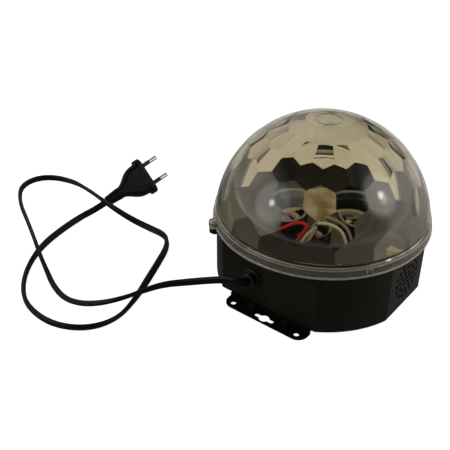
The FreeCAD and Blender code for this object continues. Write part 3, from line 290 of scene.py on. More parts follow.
# %% Finishes of the solids
moulded_finishes = {
    "case_plastic": ((0.0115, 0.0094, 0.0045), 0.45, 2200, 0.02, 0.15),
    "black_rubber": ((0.012, 0.012, 0.010), 0.5, 1500, 0.02, 0.12),
    "deck_plastic": ((0.014, 0.012, 0.008), 0.45, 1600, 0.03, 0.12),
    "spindle_plastic": ((0.014, 0.012, 0.010), 0.38, 1200, 0.02, 0.12),
    "speaker_paper": ((0.035, 0.034, 0.030), 0.75, 900, 0.08, 0.12),
    "speaker_steel": ((0.03, 0.03, 0.03), 0.35, 700, 0.02, 0.12),
    "ferrite": ((0.05, 0.05, 0.052), 0.5, 700, 0.04, 0.12),
    "connector_nylon": ((0.74, 0.68, 0.52), 0.42, 900, 0.02, 0.12),
    "terminal_plastic": ((0.04, 0.22, 0.14), 0.45, 1800, 0.03, 0.12),
    "transformer_tape": ((0.62, 0.44, 0.07), 0.35, 300, 0.05, 0.12),
    "capacitor_sleeve": ((0.03, 0.035, 0.07), 0.25, 200, 0.02, 0.12),
    "key_plastic": ((0.035, 0.034, 0.030), 0.55, 1500, 0.03, 0.12),
    "switch_plastic": ((0.02, 0.02, 0.02), 0.4, 1800, 0.03, 0.12),
    "window_plastic": ((0.05, 0.004, 0.006), 0.12, 200, 0.005, 0.12),
    "sleeve_plastic": ((0.016, 0.015, 0.012), 0.42, 1500, 0.01, 0.12),
    "plug_rubber": ((0.0065, 0.0058, 0.0038), 0.42, 1500, 0.02, 0.12),
    "cord_rubber": ((0.0065, 0.0056, 0.0034), 0.42, 900, 0.02, 0.12),
    "bracket_paint": ((0.0045, 0.0042, 0.0030), 0.6, 700, 0.03, 0.12),
    "wire_red_pvc": ((0.75, 0.030, 0.022), 0.3, 500, 0.01, 0.08),
    "wire_black_pvc": ((0.012, 0.012, 0.012), 0.3, 500, 0.01, 0.12),
    "wire_white_pvc": ((0.82, 0.79, 0.70), 0.3, 500, 0.01, 0.04),
    "wire_grey_pvc": ((0.36, 0.36, 0.36), 0.3, 500, 0.01, 0.12),
    "light_red": ((0.85, 0.40, 0.32), 0.15, 500, 0.01, 0.08),
    "light_green": ((0.42, 0.78, 0.46), 0.15, 500, 0.01, 0.08),
    "light_blue": ((0.03, 0.045, 0.16), 0.15, 500, 0.01, 0.08),
    "light_white": ((0.86, 0.84, 0.66), 0.15, 500, 0.01, 0.08),
    "light_amber": ((0.90, 0.66, 0.28), 0.15, 500, 0.01, 0.08),
    "light_purple": ((0.62, 0.40, 0.80), 0.15, 500, 0.01, 0.08),
}
metal_finishes = {
    "zinc_steel": ((0.58, 0.57, 0.53), 0.32, (1, 1, 12)),
    "motor_steel": ((0.60, 0.60, 0.58), 0.3, (1, 1, 12)),
    "socket_steel": ((0.68, 0.67, 0.63), 0.22, (1, 1, 12)),
    "sink_aluminium": ((0.66, 0.67, 0.68), 0.35, (1, 1, 12)),
    "brass_turned": ((0.72, 0.52, 0.22), 0.28, (1, 1, 14)),
    "pin_nickel": ((0.78, 0.74, 0.64), 0.22, (14, 1, 1)),
}
light_sockets = {"coat_weight": 0.6}
more_sockets = {
    "case_plastic": {"specular_ior_level": 0.30},
    "plug_rubber": {"specular_ior_level": 0.22},
    "cord_rubber": {"specular_ior_level": 0.22},
    "bracket_paint": {"specular_ior_level": 0.08},
    "connector_nylon": {"subsurface_weight": 0.1},
}

finish = {}
for name, recipe in moulded_finishes.items():
    sockets = light_sockets if name.startswith("light_") else more_sockets.get(name, {})
    finish[name] = moulded(name, *recipe, **sockets)
for name, recipe in metal_finishes.items():
    finish[name] = metal(name, *recipe)
finish["lens_plastic"] = pearly("lens_plastic", (0.46, 0.36, 0.17), (0.95, 0.92, 0.78))
finish["board_white"] = circuit("board_white", (0.36, 0.30, 0.20), (0.42, 0.36, 0.25))
finish["board_green"] = circuit("board_green", (0.02, 0.16, 0.07), (0.04, 0.26, 0.12))

# %% [markdown]
# The reflector cups have three finishes on one moulding: a silvered rim, a cream ring round the
# light, and black plastic elsewhere. Six cups stand on one circle, so a point's azimuth a folds
# onto the nearest cup, a - 60 round(a / 60), and its distance from that cup's axis then says
# which finish it has.


# %% Finish of the reflector cups
cup_circle = 25.5 * MM
cup_spacing = math.radians(60)
silver_bore = 7.4 * MM
silver_low = 55.0 * MM
cream_radius = 6.7 * MM
cream_low = 50.8 * MM
edge_blur = 0.15 * MM


def above(tree, value, limit):
    """One where a value is above a limit, and zero below, with a soft step between."""
    return spread(tree, value, (limit - edge_blur, limit + edge_blur))


def blended(tree, factor, first, second):
    """Colour between two colours by a factor."""
    made = node(tree, "ShaderNodeMix", {0: factor, 6: first, 7: second}, data_type="RGBA")
    return made.outputs[2]


def cup_place(tree):
    """Distance from the nearest cup's axis, and height, at the shaded point."""
    x, y, z = coordinates(tree)
    out = hypotenuse(tree, x, y)
    turn = maths(tree, "ARCTAN2", y, x)
    nearest = maths(tree, "ROUND", maths(tree, "DIVIDE", turn, cup_spacing))
    off = maths(tree, "SUBTRACT", turn, maths(tree, "MULTIPLY", nearest, cup_spacing))
    along = maths(tree, "MULTIPLY", out, maths(tree, "COSINE", off))
    along = maths(tree, "SUBTRACT", along, cup_circle)
    across = maths(tree, "MULTIPLY", out, maths(tree, "SINE", off))
    return hypotenuse(tree, along, across), z


def cup_finish():
    """Black moulding with a silvered rim and a cream ring, on the six cups alike."""
    material, tree, shader = new_material("cup_plastic")
    distance, height = cup_place(tree)
    silvered = maths(tree, "MULTIPLY", above(tree, distance, silver_bore),
                     above(tree, height, silver_low))
    inner = maths(tree, "SUBTRACT", 1.0, above(tree, distance, cream_radius))
    cream = maths(tree, "MULTIPLY", inner, above(tree, height, cream_low))
    cloud = noise(tree, scale=120)
    silver = blended(tree, cloud, (0.50, 0.54, 0.60, 1), (0.72, 0.76, 0.82, 1))
    ring = blended(tree, cloud, (0.70, 0.63, 0.46, 1), (0.80, 0.74, 0.58, 1))
    colour = blended(tree, silvered, (0.012, 0.012, 0.012, 1), silver)
    colour = blended(tree, cream, colour, ring)
    tree.links.new(colour, shader.inputs["Base Color"])
    tree.links.new(silvered, shader.inputs["Metallic"])
    gloss_between(tree, shader, cloud, 0.14, 0.26)
    bump(tree, shader, noise(tree, scale=900, detail=2), depth_mm=0.015, strength=0.4)
    return material


finish["cup_plastic"] = cup_finish()
print("finishes", len(finish))

# %% [markdown]
# ## Clear plastic
#
# The dome is clear plastic with a smoke tint. The tint sits on the base colour, which the shader
# applies once for a whole wall, so the far wall and the near wall together look twice as deep.
# Lamps would cast no light through a bending surface without very long renders, so for shadow
# rays alone the surface is a plain tinted pane. Where a face of the mesh has a share of painted
# reflection, that share of the surface is a pale diffuse haze instead, which stands in for the
# softboxes' reflections in the inner facets.

# %% Clear plastic
dome_tint = (0.64, 0.585, 0.455)
pane_tint = (0.85, 0.82, 0.73)
painted_reflection_white = (0.80, 0.78, 0.70)
polycarbonate_ior = 1.585
wave_depth_mm = 0.02


def mixed_shader(tree, share, first, second):
    """Output of a mix of two shaders."""
    return node(tree, "ShaderNodeMixShader", {0: share, 1: first, 2: second}).outputs[0]


def clear_finish():
    """Clear moulded plastic with faint waves in its surface. It lets lamps through, and on some
    faces a pale diffuse is a painted reflection.
    """
    material, tree, shader = new_material("clear_plastic", base_color=(*dome_tint, 1),
                                          roughness=0.0, transmission_weight=1.0,
                                          ior=polycarbonate_ior)
    bump(tree, shader, noise(tree, scale=60, detail=2), wave_depth_mm, strength=0.4)
    pane = node(tree, "ShaderNodeBsdfTransparent", {"Color": (*pane_tint, 1)}).outputs[0]
    shadow = node(tree, "ShaderNodeLightPath").outputs["Is Shadow Ray"]
    # Painted reflection: a share of pale diffuse, read from each face, stands in for the softboxes'
    # reflections in the facets.
    reflection_share = node(tree, "ShaderNodeAttribute", attribute_name="reflection_share").outputs["Fac"]
    painted_reflection = node(tree, "ShaderNodeBsdfDiffuse", {"Color": (*painted_reflection_white, 1)}).outputs[0]
    surface = mixed_shader(tree, reflection_share, mixed_shader(tree, shadow, shader.outputs[0], pane), painted_reflection)
    tree.links.new(surface, tree.nodes["Material Output"].inputs["Surface"])
    return material


finish["clear_plastic"] = clear_finish()

for part in frame["record"]["subparts"]:
    solid = frame["nodes"][part["node"]]
    solid.data.materials.clear()
    solid.data.materials.append(finish[part["material_slot"]])

# %% [markdown]
# ## The dome
#
# Outside, the dome is a polished sphere over a straight band. Inside, 90 flat facets lie in
# five staggered rows of 18, and each one works as a weak lens. A facet is a plane that touches
# an inner sphere, so its corners are points where three neighbouring planes meet. Solving all
# those triples of planes at once gives exact corners, which no sampled surface could.

# %% Sizes of the dome
dome_low, dome_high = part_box("dome_cover")
lip_radius = dome_high.x
rim_radius = lip_radius - 1.0 * MM
dome_radius = rim_radius - 0.8 * MM
dome_centre = dome_high.z - dome_radius
dome_wall = 4.0 * MM
reach = dome_radius - dome_wall
flange_top = dome_low.z
rim_top = flange_top + 7.1 * MM
lip_top = flange_top + 1.2 * MM
collar_bore = rim_radius - 2.3 * MM
skirt_bore = dome_radius - 3.3 * MM
seat_gap = 0.05 * MM
row_latitudes = np.radians([62.0, 52.0, 38.6, 25.0, 11.6])
facets_per_row = 18
facet_first = math.radians(-61.4)
facet_step = 2 * math.pi / facets_per_row
ledge_latitude = math.radians(7.5)
ledge_height = dome_centre + reach * math.sin(ledge_latitude)
ledge_least = 0.05 * MM
cap_radius = 103.0 * MM
cap_polar = math.radians(14.0)
gate_inner = 8.5 * MM
gate_outer = 10.2 * MM
gate_depth = 0.25 * MM
gate_floor = dome_centre + math.sqrt(dome_radius ** 2 - gate_outer ** 2) - gate_depth
print("dome radius", round(dome_radius, 5), "centre", round(dome_centre, 5))

# %% [markdown]
# The rim carries small things: two screw ears, two catches and six nubs. They are part of the
# same moulding, so here they are bulges in one skin and not separate solids. The skin's
# columns lie a degree apart, and closer together where a bulge needs them.

# %% Columns round the dome
ear_azimuths = np.radians([-130.0, 50.0])
catch_azimuths = np.radians([-34.0, 146.0])
nub_azimuths = np.radians(4.0 + 60.0 * np.arange(6))
ear_radius = 4.3 * MM
ear_circle = lip_radius + 0.1 * MM
ear_top = flange_top + 4.6 * MM
catch_half = 2.3 * MM
catch_high = rim_top - 1.4 * MM
catch_low = catch_high - 4.7 * MM
catch_relief = 0.5 * MM
catch_slope = 0.35 * MM
nub_half = 0.6 * MM
nub_relief = 0.4 * MM
nub_high = lip_top + 0.8 * MM
fine_step_deg = 0.2
fine_reach_deg = ((ear_azimuths, 3.4), (catch_azimuths, 2.0), (nub_azimuths, 0.6))
least_column_gap = 0.0008
near_degree = 0.002
degree_slack = 0.01


def round_columns():
    """Azimuths of the skin's columns: one a degree, and finer ones near each bulge."""
    start = facet_first - facet_step / 2
    coarse = start + np.radians(np.arange(360))
    fine = [centre + np.radians(np.arange(-reach_deg, reach_deg + degree_slack, fine_step_deg))
            for centres, reach_deg in fine_reach_deg for centre in centres]
    turned = (np.concatenate([coarse] + fine) - start) % (2 * math.pi)
    turned = np.unique(np.round(turned, 5))
    keep = np.concatenate([[True], np.diff(turned) > least_column_gap])
    on_degree = np.abs(np.degrees(turned) - np.round(np.degrees(turned))) < near_degree
    return turned[keep | on_degree] + start


def angle_from(azimuths, centres):
    """Least angle from each azimuth to any of the centres."""
    gap = azimuths[:, None] - np.asarray(centres)[None, :]
    return np.abs((gap + math.pi) % (2 * math.pi) - math.pi).min(1)


columns = round_columns()
print("columns", len(columns))

# %% [markdown]
# Along the rim's edges, over its band and round the catches a whitish diffuse is mixed in: painted
# highlights, which stand in for the light that those rounded edges catch. The share of it at a
# point follows from its height z, its distance r from the axis and its distance to the outline of
# the nearest catch, and a noise makes the share uneven.


# %% Painted highlights on the rim
# Heights, shares and colour of the painted highlights on the rim's edges, band and catch outlines.
lip_highlight_high = lip_top + 0.15 * MM
shoulder_half = 1.0 * MM
outline_inside = 0.6 * MM
outline_past = 0.1 * MM
outline_low = lip_top + 0.4 * MM
outline_high = rim_top - 1.3 * MM
rim_highlight_white = (0.86, 0.83, 0.74)
rim_highlight_spread = (0.75, 1.15)


def window(tree, value, low, high):
    """One where a value lies between two limits, and zero elsewhere."""
    return maths(tree, "MULTIPLY", above(tree, value, low),
                 maths(tree, "SUBTRACT", 1.0, above(tree, value, high)))


def catch_outline(tree, x, y, z):
    """One on the raised edge of the two catches, which stand opposite each other."""
    azimuth = float(catch_azimuths[0])
    across = maths(tree, "SUBTRACT", maths(tree, "MULTIPLY", y, math.cos(azimuth)),
                   maths(tree, "MULTIPLY", x, math.sin(azimuth)))
    drop = maths(tree, "MAXIMUM", maths(tree, "SUBTRACT", catch_low + catch_half, z), 0.0)
    edge = window(tree, hypotenuse(tree, across, drop), catch_half - outline_inside,
                  catch_half + outline_past)
    return maths(tree, "MULTIPLY", edge, window(tree, z, outline_low, outline_high))


def paint_rim_highlights(material):
    """Mix a whitish diffuse into a clear material along the rim's edges, as painted highlights."""
    tree = material.node_tree
    x, y, z = coordinates(tree)
    out = hypotenuse(tree, x, y)
    on_band = above(tree, out, dome_radius)
    lip = window(tree, z, 0.0, lip_highlight_high)
    lip = maths(tree, "MULTIPLY", lip, above(tree, out, rim_radius))
    shoulder = window(tree, z, rim_top - shoulder_half, rim_top + shoulder_half)
    shoulder = maths(tree, "MULTIPLY", shoulder, on_band)
    band = maths(tree, "MULTIPLY", window(tree, z, flange_top, rim_top), on_band)
    outline = maths(tree, "MULTIPLY", catch_outline(tree, x, y, z), on_band)
    share = 0.0
    # Painted highlight: each edge's share of whitish diffuse stands in for the softboxes' light on
    # it.
    for part, most in ((lip, 0.50), (shoulder, 0.34), (band, 0.13), (outline, 0.55)):
        share = maths(tree, "MAXIMUM", share, maths(tree, "MULTIPLY", part, most))
    grain = spread(tree, noise(tree, scale=420), noise_middle, rim_highlight_spread)
    share = maths(tree, "MULTIPLY", share, grain)
    white = node(tree, "ShaderNodeBsdfDiffuse", {"Color": (*rim_highlight_white, 1)}).outputs[0]
    surface = tree.nodes["Material Output"].inputs["Surface"]
    clear_side = surface.links[0].from_socket
    tree.links.new(mixed_shader(tree, share, clear_side, white), surface)


paint_rim_highlights(finish["clear_plastic"])

# %% [markdown]
# The skin is a profile turned about the axis. Its formula: a point at azimuth a and profile
# position p stands at radius r(p) plus the bulge b(a, z), and at height z(p). The profile runs
# from the pole down over the sphere, round the lip, and up inside to the ledge below the
# facets.


# %% Skin of the dome
rim_round = 1.0 * MM
lip_round = 0.25 * MM
band_high = rim_top - rim_round - 0.3 * MM
ear_edge = 0.01 * MM
lip_edge = 0.15 * MM
crown_first_deg = 89.2
micron = 1e-6


def arc_profile(centre_r, centre_z, radius, start_deg, end_deg, steps):
    """Points of an arc in the (r, z) half plane."""
    angle = np.radians(np.linspace(start_deg, end_deg, steps))
    return np.stack([centre_r + radius * np.cos(angle), centre_z + radius * np.sin(angle)], -1)


def skin_profile():
    """(r, z) points from just below the pole to the ledge under the facets."""
    shoulder = math.degrees(math.asin((rim_top - dome_centre) / dome_radius))
    gate_in, gate_out = (math.degrees(math.acos(r / dome_radius)) for r in (gate_inner, gate_outer))
    crown = arc_profile(0, dome_centre, dome_radius, crown_first_deg, gate_in, 8)
    groove = [(gate_inner, gate_floor), (gate_outer, gate_floor)]
    ball = arc_profile(0, dome_centre, dome_radius, gate_out, shoulder, 80)
    corner = arc_profile(rim_radius - rim_round, rim_top - rim_round, rim_round, 90, 0, 7)
    band = np.linspace(band_high, ear_top + ear_edge, 6)
    below = np.linspace(ear_top, lip_top + lip_edge, 13)
    lip_centre = lip_radius - lip_round
    lip = np.concatenate([
        arc_profile(lip_centre, lip_top - lip_round, lip_round, 90, 0, 4),
        arc_profile(lip_centre, flange_top + seat_gap + lip_round, lip_round, 0, -90, 4)])
    inside = [(collar_bore, flange_top + seat_gap), (collar_bore, rim_top), (skirt_bore, rim_top),
              (skirt_bore, ledge_height)]
    upright = [(rim_radius, z) for z in (*band, *below, lip_top)]
    return np.concatenate([crown, groove, ball, corner, upright, lip, inside])


def bulge(azimuths, radius, height):
    """Extra radius of the ears, catches and nubs at each (height, azimuth)."""
    off_ear = np.abs(np.sin(angle_from(azimuths, ear_azimuths))) * ear_circle
    ear = np.sqrt(np.clip(ear_radius ** 2 - off_ear ** 2, 0, None)) + ear_circle
    ear = np.where(off_ear < ear_radius, ear, 0)
    low_ear = (height <= ear_top + micron) & (radius > rim_radius - micron)
    out = np.where(low_ear[:, None], np.maximum(ear[None, :] - radius[:, None], 0), 0)
    across = angle_from(azimuths, catch_azimuths) * rim_radius
    drop = np.clip(catch_low + catch_half - height, 0, None)
    inset = catch_half - np.hypot(across[None, :], drop[:, None])
    top_inset = (catch_high - height)[:, None]
    pad = np.clip(np.minimum(inset, top_inset) / catch_slope, 0, 1)
    pad = pad * pad * (3 - 2 * pad) * catch_relief
    nub = (angle_from(azimuths, nub_azimuths) * rim_radius < nub_half)[None, :]
    nub = np.where(nub & (height < nub_high)[:, None], nub_relief, 0)
    straight = (np.abs(radius - rim_radius) < micron)[:, None]
    return np.maximum(out, np.where(straight, np.maximum(pad, nub), 0))


profile = skin_profile()
radii = profile[:, :1] + bulge(columns, profile[:, 0], profile[:, 1])
skin = np.stack([radii * np.cos(columns), radii * np.sin(columns),
                 np.broadcast_to(profile[:, 1:], radii.shape)], -1)
print("skin rows", len(profile), "reach", round(float(radii.max()), 4))

# %% [markdown]
# Now the facets. Row k turns by half a step for each row, which makes the rows interlock like
# bricks. A corner shared by two planes of one row and one of the next is the solution of three
# equations n . x = reach, solved for every corner of a row in one call.


# %% Corners of the facets
def facet_normals():
    """Outward directions of the facets, as rows by facets by 3."""
    row = np.arange(len(row_latitudes))[:, None]
    azimuth = facet_first + facet_step * (np.arange(facets_per_row)[None, :] + row / 2)
    latitude = np.broadcast_to(row_latitudes[:, None], azimuth.shape)
    return np.stack([np.cos(latitude) * np.cos(azimuth), np.cos(latitude) * np.sin(azimuth),
                     np.sin(latitude)], -1)


def meet(a, b, c):
    """Points where three planes n . x = reach meet, relative to the dome's centre."""
    planes = np.stack([a, b, c], -2)
    return np.linalg.solve(planes, np.full(planes.shape[:-1] + (1,), reach))[..., 0]


normals = facet_normals()
upper, lower = normals[:-1], normals[1:]
beside = meet(upper, np.roll(upper, -1, 1), lower)
beneath = meet(upper, np.roll(lower, 1, 1), lower)
print("facets", normals[..., 0].size, "corners", beside[..., 0].size + beneath[..., 0].size)

# %% [markdown]
# The top row ends in a curved edge, where each plane meets the shallow cap, and the bottom row
# ends in a level one. Both edges follow the skin's own columns, so the inside and the outside
# close into one watertight body.


# %% Edges of the top and bottom rows
def from_facet_middle(azimuths, row):
    """Angle from each azimuth to the middle of its facet in a row."""
    turn = azimuths - facet_first - facet_step * row / 2
    return (turn + facet_step / 2) % facet_step - facet_step / 2


def on_facet_level(row, azimuths, height):
    """Radius at which a row's plane passes a height above the dome's centre."""
    latitude = row_latitudes[row]
    level = np.cos(from_facet_middle(azimuths, row)) * math.cos(latitude)
    return (reach - height * math.sin(latitude)) / level


def cap_edge(azimuths):
    """Radius and height where the top row's planes meet the cap's sphere.

    On a plane the height falls with the radius, z = base - slope r, and on the cap the two
    squares add up to the cap's radius squared. Together they give a quadratic for r.
    """
    level = np.cos(from_facet_middle(azimuths, 0)) * math.cos(row_latitudes[0])
    rise = math.sin(row_latitudes[0])
    base = reach / rise - cap_centre
    slope = level / rise
    a = 1 + slope ** 2
    b = -2 * base * slope
    c = base ** 2 - cap_radius ** 2
    radius = (-b - np.sqrt(b * b - 4 * a * c)) / (2 * a)
    return radius, reach / rise - slope * radius


cap_rise = math.sqrt(cap_radius ** 2 - (reach * math.sin(cap_polar)) ** 2)
cap_centre = reach * math.cos(cap_polar) - cap_rise
edge_r, edge_z = cap_edge(columns)
print("cap edge", np.round([edge_r.min(), edge_r.max(), edge_z.min(), edge_z.max()], 4))


# %% [markdown]
# With all its corners known the dome is put together: the skin's grid and pole, the ledge, the
# ninety facets as flat polygons, and the cap. Points that two parts share are merged, which
# leaves one closed surface.


# %% Build the dome
cap_rows = 18
cap_least = 0.01
facet_step_deg = 360 // facets_per_row
dome_weld = 0.002 * MM


def dome_mesh():
    """Points, faces, and a flag for each face that is smooth and not a flat facet."""
    count = len(columns)
    circle = np.stack([np.cos(columns), np.sin(columns)], -1)

    def ring(radius, height):
        flat = circle * np.broadcast_to(radius, (count,))[:, None]
        return np.concatenate([flat, np.broadcast_to(height, (count,))[:, None]], -1)

    points = [skin.reshape(-1, 3), [[0, 0, dome_centre + dome_radius]]]
    faces = grid_faces(len(profile), count, 0, True)
    pole = len(profile) * count
    faces += [[pole, (i + 1) % count, i] for i in range(count)]
    total = pole + 1

    rows = len(row_latitudes)
    low_edge = on_facet_level(rows - 1, columns, ledge_height - dome_centre)
    low_edge = np.minimum(low_edge, skirt_bore - ledge_least)
    ledge = np.stack([ring(skirt_bore, ledge_height), ring(low_edge, ledge_height)])
    points.append(ledge.reshape(-1, 3))
    faces += grid_faces(2, count, total, True)
    low_ring = total + count
    total += 2 * count

    cap_r = edge_r * np.linspace(1, cap_least, cap_rows)[:, None]
    cap_z = dome_centre + cap_centre + np.sqrt(cap_radius ** 2 - cap_r ** 2)
    cap = np.stack([ring(r, z) for r, z in zip(cap_r, cap_z)])
    points.append(cap.reshape(-1, 3))
    top_ring = total
    faces += grid_faces(len(cap), count, total, True)
    total += len(cap) * count
    points.append([[0, 0, dome_centre + cap_centre + cap_radius]])
    faces += [[total, total - count + i, total - count + (i + 1) % count] for i in range(count)]
    total += 1
    smooth_faces = len(faces)

    lift = np.array([0, 0, dome_centre])
    corner_u = total + np.arange(beside.shape[0] * facets_per_row).reshape(beside.shape[:2])
    corner_d = corner_u + corner_u.size
    points += [(beside + lift).reshape(-1, 3), (beneath + lift).reshape(-1, 3)]
    degrees = np.degrees(columns - columns[0])
    for k in range(rows):
        for i in range(facets_per_row):
            after, before = (i + 1) % facets_per_row, (i - 1) % facets_per_row
            first = (i + k // 2) * facet_step_deg % 360
            last = first + facet_step_deg
            inside = (degrees > first - degree_slack) & (degrees < last + degree_slack)
            inside = np.flatnonzero(inside).tolist()
            if last == 360:
                inside.append(0)
            if k == 0:
                top = [top_ring + column for column in reversed(inside)]
            else:
                top = [corner_d[k - 1, after], corner_u[k - 1, i], corner_d[k - 1, i]]
            if k == rows - 1:
                bottom = [low_ring + column for column in inside]
            else:
                bottom = [corner_u[k, before], corner_d[k, i], corner_u[k, i]]
            faces.append([int(n) for n in top + bottom])
    flags = np.arange(len(faces)) < smooth_faces
    return np.concatenate([np.asarray(p, float).reshape(-1, 3) for p in points]), faces, flags


dome_points, dome_faces, dome_smooth = dome_mesh()
dome = piece("dome_clear", dome_points, dome_faces, finish["clear_plastic"], "case",
             smooth=dome_smooth, weld=dome_weld)
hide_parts("dome_cover")

# %% [markdown]
# Each facet gets a faint pale haze, more on one facet than on the next: painted reflection,
# which stands in for the softboxes' reflections in the inner facets. With u random from 0 to 1
# for each facet, the haze is 0.02 + 0.26 u. It fades out between the latitudes of 40 and 50
# degrees, and near the first column, which faces the camera.

# %% Painted reflections on the facets
reflection_least = 0.02
reflection_more = 0.26
reflection_seed = 5
reflection_top_deg = 50
reflection_fade_deg = 10
camera_side_clear_deg = 20
camera_side_fade_deg = 12


def paint_facet_reflections(thing):
    """Write the share of painted reflection on every facet, and return the shares."""
    count = len(thing.data.polygons)
    smooth = np.empty(count, bool)
    thing.data.polygons.foreach_get("use_smooth", smooth)
    centre = np.empty(3 * count)
    thing.data.polygons.foreach_get("center", centre)
    x, y, z = centre.reshape(-1, 3).T
    latitude = np.degrees(np.arctan2(z - dome_centre, np.hypot(x, y)))
    turn = np.degrees(angle_from(np.arctan2(y, x), [facet_first]))
    fade = np.clip((turn - camera_side_clear_deg) / camera_side_fade_deg, 0, 1)
    fade *= np.clip((reflection_top_deg - latitude) / reflection_fade_deg, 0, 1)
    # Painted reflection: a random share on each facet, faded towards the top and near the facets
    # that face the camera.
    reflection_share = reflection_least + reflection_more * np.random.default_rng(reflection_seed).random(count)
    reflection_share = np.where(smooth, 0, reflection_share * fade)
    layer = thing.data.attributes.new("reflection_share", "FLOAT", "FACE")
    layer.data.foreach_set("value", reflection_share.astype(np.float32))
    return reflection_share[~smooth]


# The shares of painted reflection, which stand in for the softboxes' reflections in the facets.
dome_reflection_shares = paint_facet_reflections(dome)
print("facets with film", int((dome_reflection_shares > 0).sum()), "most", round(float(dome_reflection_shares.max()), 3))

# %% [markdown]
# ## The cord
#
# The cord is a flat twin: two round cores side by side in one jacket. Its centreline is a
# NURBS spline through the laid-out route, because a spline of order 3 bends as evenly as a limp
# cord does. Blender turns the spline into points, and the jacket's section is swept along
# them. A flat cord can bend only over its flat side, so in a curve it stands on its edge.

# %% Route of the cord
cord_wide = 5.7 * MM
cord_thick = 3.3 * MM
least_step = 1e-7
cord_route = np.array([
    (-13.5, -73.5, 27.5), (-13.5, -78.8, 28.5), (-18.6, -82.2, 29.9), (-27.6, -83.2, 27.7),
    (-39.9, -86.0, 22.9), (-55.7, -93.8, 18.2), (-70.9, -103.3, 14.5), (-80.2, -118.3, 12),
    (-86.4, -132.9, 11.5), (-99.7, -141.3, 6), (-113.3, -148.2, 3), (-127.9, -151.8, 3),
    (-147, -146.3, 3), (-161, -139.8, 6), (-174.9, -134, 11.5), (-198.7, -120.7, 11.8),
    (-231.3, -102, 5), (-262.1, -85.7, 3), (-281.1, -71.1, 3), (-286.9, -60.5, 3),
    (-287.4, -49.2, 3), (-281.4, -39.2, 3), (-271.1, -32.9, 3), (-258.1, -30.2, 3.5),
    (-240.8, -34.1, 8), (-214.1, -42.3, 13.5), (-181.7, -49.6, 14.5), (-161.4, -45.5, 7),
    (-143.9, -41.5, 3), (-124.6, -41.1, 3), (-112.9, -52.5, 3), (-103.5, -73.8, 3),
    (-94, -97.1, 3), (-85.2, -119.6, 3), (-79.7, -141.2, 3), (-85.2, -159.4, 3),
    (-99.8, -172.2, 3), (-120.1, -177.9, 3), (-146.5, -174, 3), (-167.4, -159.3, 3),
    (-183.6, -139.5, 3), (-195.6, -115.9, 3), (-201.1, -89.3, 3), (-203, -65.5, 3.2),
    (-199.225, -52.353, 5.376), (-197.5, -38.3, 8)]) * MM


def spline_line(route):
    """Points of a NURBS spline whose control points are the route, and the way run to each."""
    curve = bpy.data.curves.new("route", "CURVE")
    curve.dimensions = "3D"
    spline = curve.splines.new("NURBS")
    spline.points.add(len(route) - 1)
    spline.points.foreach_set("co", np.c_[route, np.ones(len(route))].ravel())
    spline.order_u = 3
    spline.use_endpoint_u = True
    spline.resolution_u = 16
    holder = bpy.data.objects.new("route", curve)
    mesh = bpy.data.meshes.new_from_object(holder)
    line = np.empty(len(mesh.vertices) * 3)
    mesh.vertices.foreach_get("co", line)
    line = line.reshape(-1, 3)
    bpy.data.objects.remove(holder)
    bpy.data.curves.remove(curve)
    bpy.data.meshes.remove(mesh)
    steps = np.linalg.norm(np.diff(line, axis=0), axis=1)
    line = line[np.r_[True, steps > least_step]]
    steps = np.linalg.norm(np.diff(line, axis=0), axis=1)
    return line, np.r_[0, np.cumsum(steps)]


cord_line, cord_run = spline_line(cord_route)
print("cord length", round(float(cord_run[-1]), 4), "points", len(cord_line))

# %% [markdown]
# The sweep needs one more thing than a line: a side to turn the section to. The stations below
# give the roll, in degrees from lying flat, at distances along the cord in millimetres.


# %% Sweep the cord
core_arc_deg = 118
core_steps = 14
roll_step = 1 * MM
roll_reach = 12


def twin_section(wide, thick):
    """Outline of two joined round cores, as (across, up) points going round once."""
    radius = thick / 2
    off = wide / 2 - radius
    angle = np.radians(np.linspace(-core_arc_deg, core_arc_deg, core_steps))
    right = np.stack([off + radius * np.cos(angle), radius * np.sin(angle)], -1)
    return np.concatenate([right, -right])


def sweep(line, wide_way, section):
    """Points of a section carried along a line, whose across axis follows wide_way."""
    ahead = np.gradient(line, axis=0)
    ahead /= np.linalg.norm(ahead, axis=1)[:, None]
    side = wide_way - (wide_way * ahead).sum(1)[:, None] * ahead
    side /= np.linalg.norm(side, axis=1)[:, None]
    up = np.cross(ahead, side)
    across, rise = section[None, :, :1], section[None, :, 1:]
    rings = line[:, None] + side[:, None] * across + up[:, None] * rise
    return rings.reshape(-1, 3)


def rolled(line, run, stations):
    """Wide direction along the line: level and square to it, rolled by degrees at stations."""
    ahead = np.gradient(line, axis=0)
    level = np.stack([-ahead[:, 1], ahead[:, 0], np.zeros(len(line))], -1)
    level /= np.linalg.norm(level, axis=1)[:, None]
    place, degrees = np.array(stations, float).T
    even = np.arange(0, run[-1] + roll_step, roll_step)
    roll = np.interp(even, place * MM, degrees)
    weights = np.hanning(2 * roll_reach + 1)
    roll = np.convolve(np.pad(roll, roll_reach, mode="edge"), weights / weights.sum(), mode="valid")
    roll = np.radians(np.interp(run, even, roll))
    upright = np.array([0, 0, 1.0])
    return level * np.cos(roll)[:, None] + upright * np.sin(roll)[:, None]


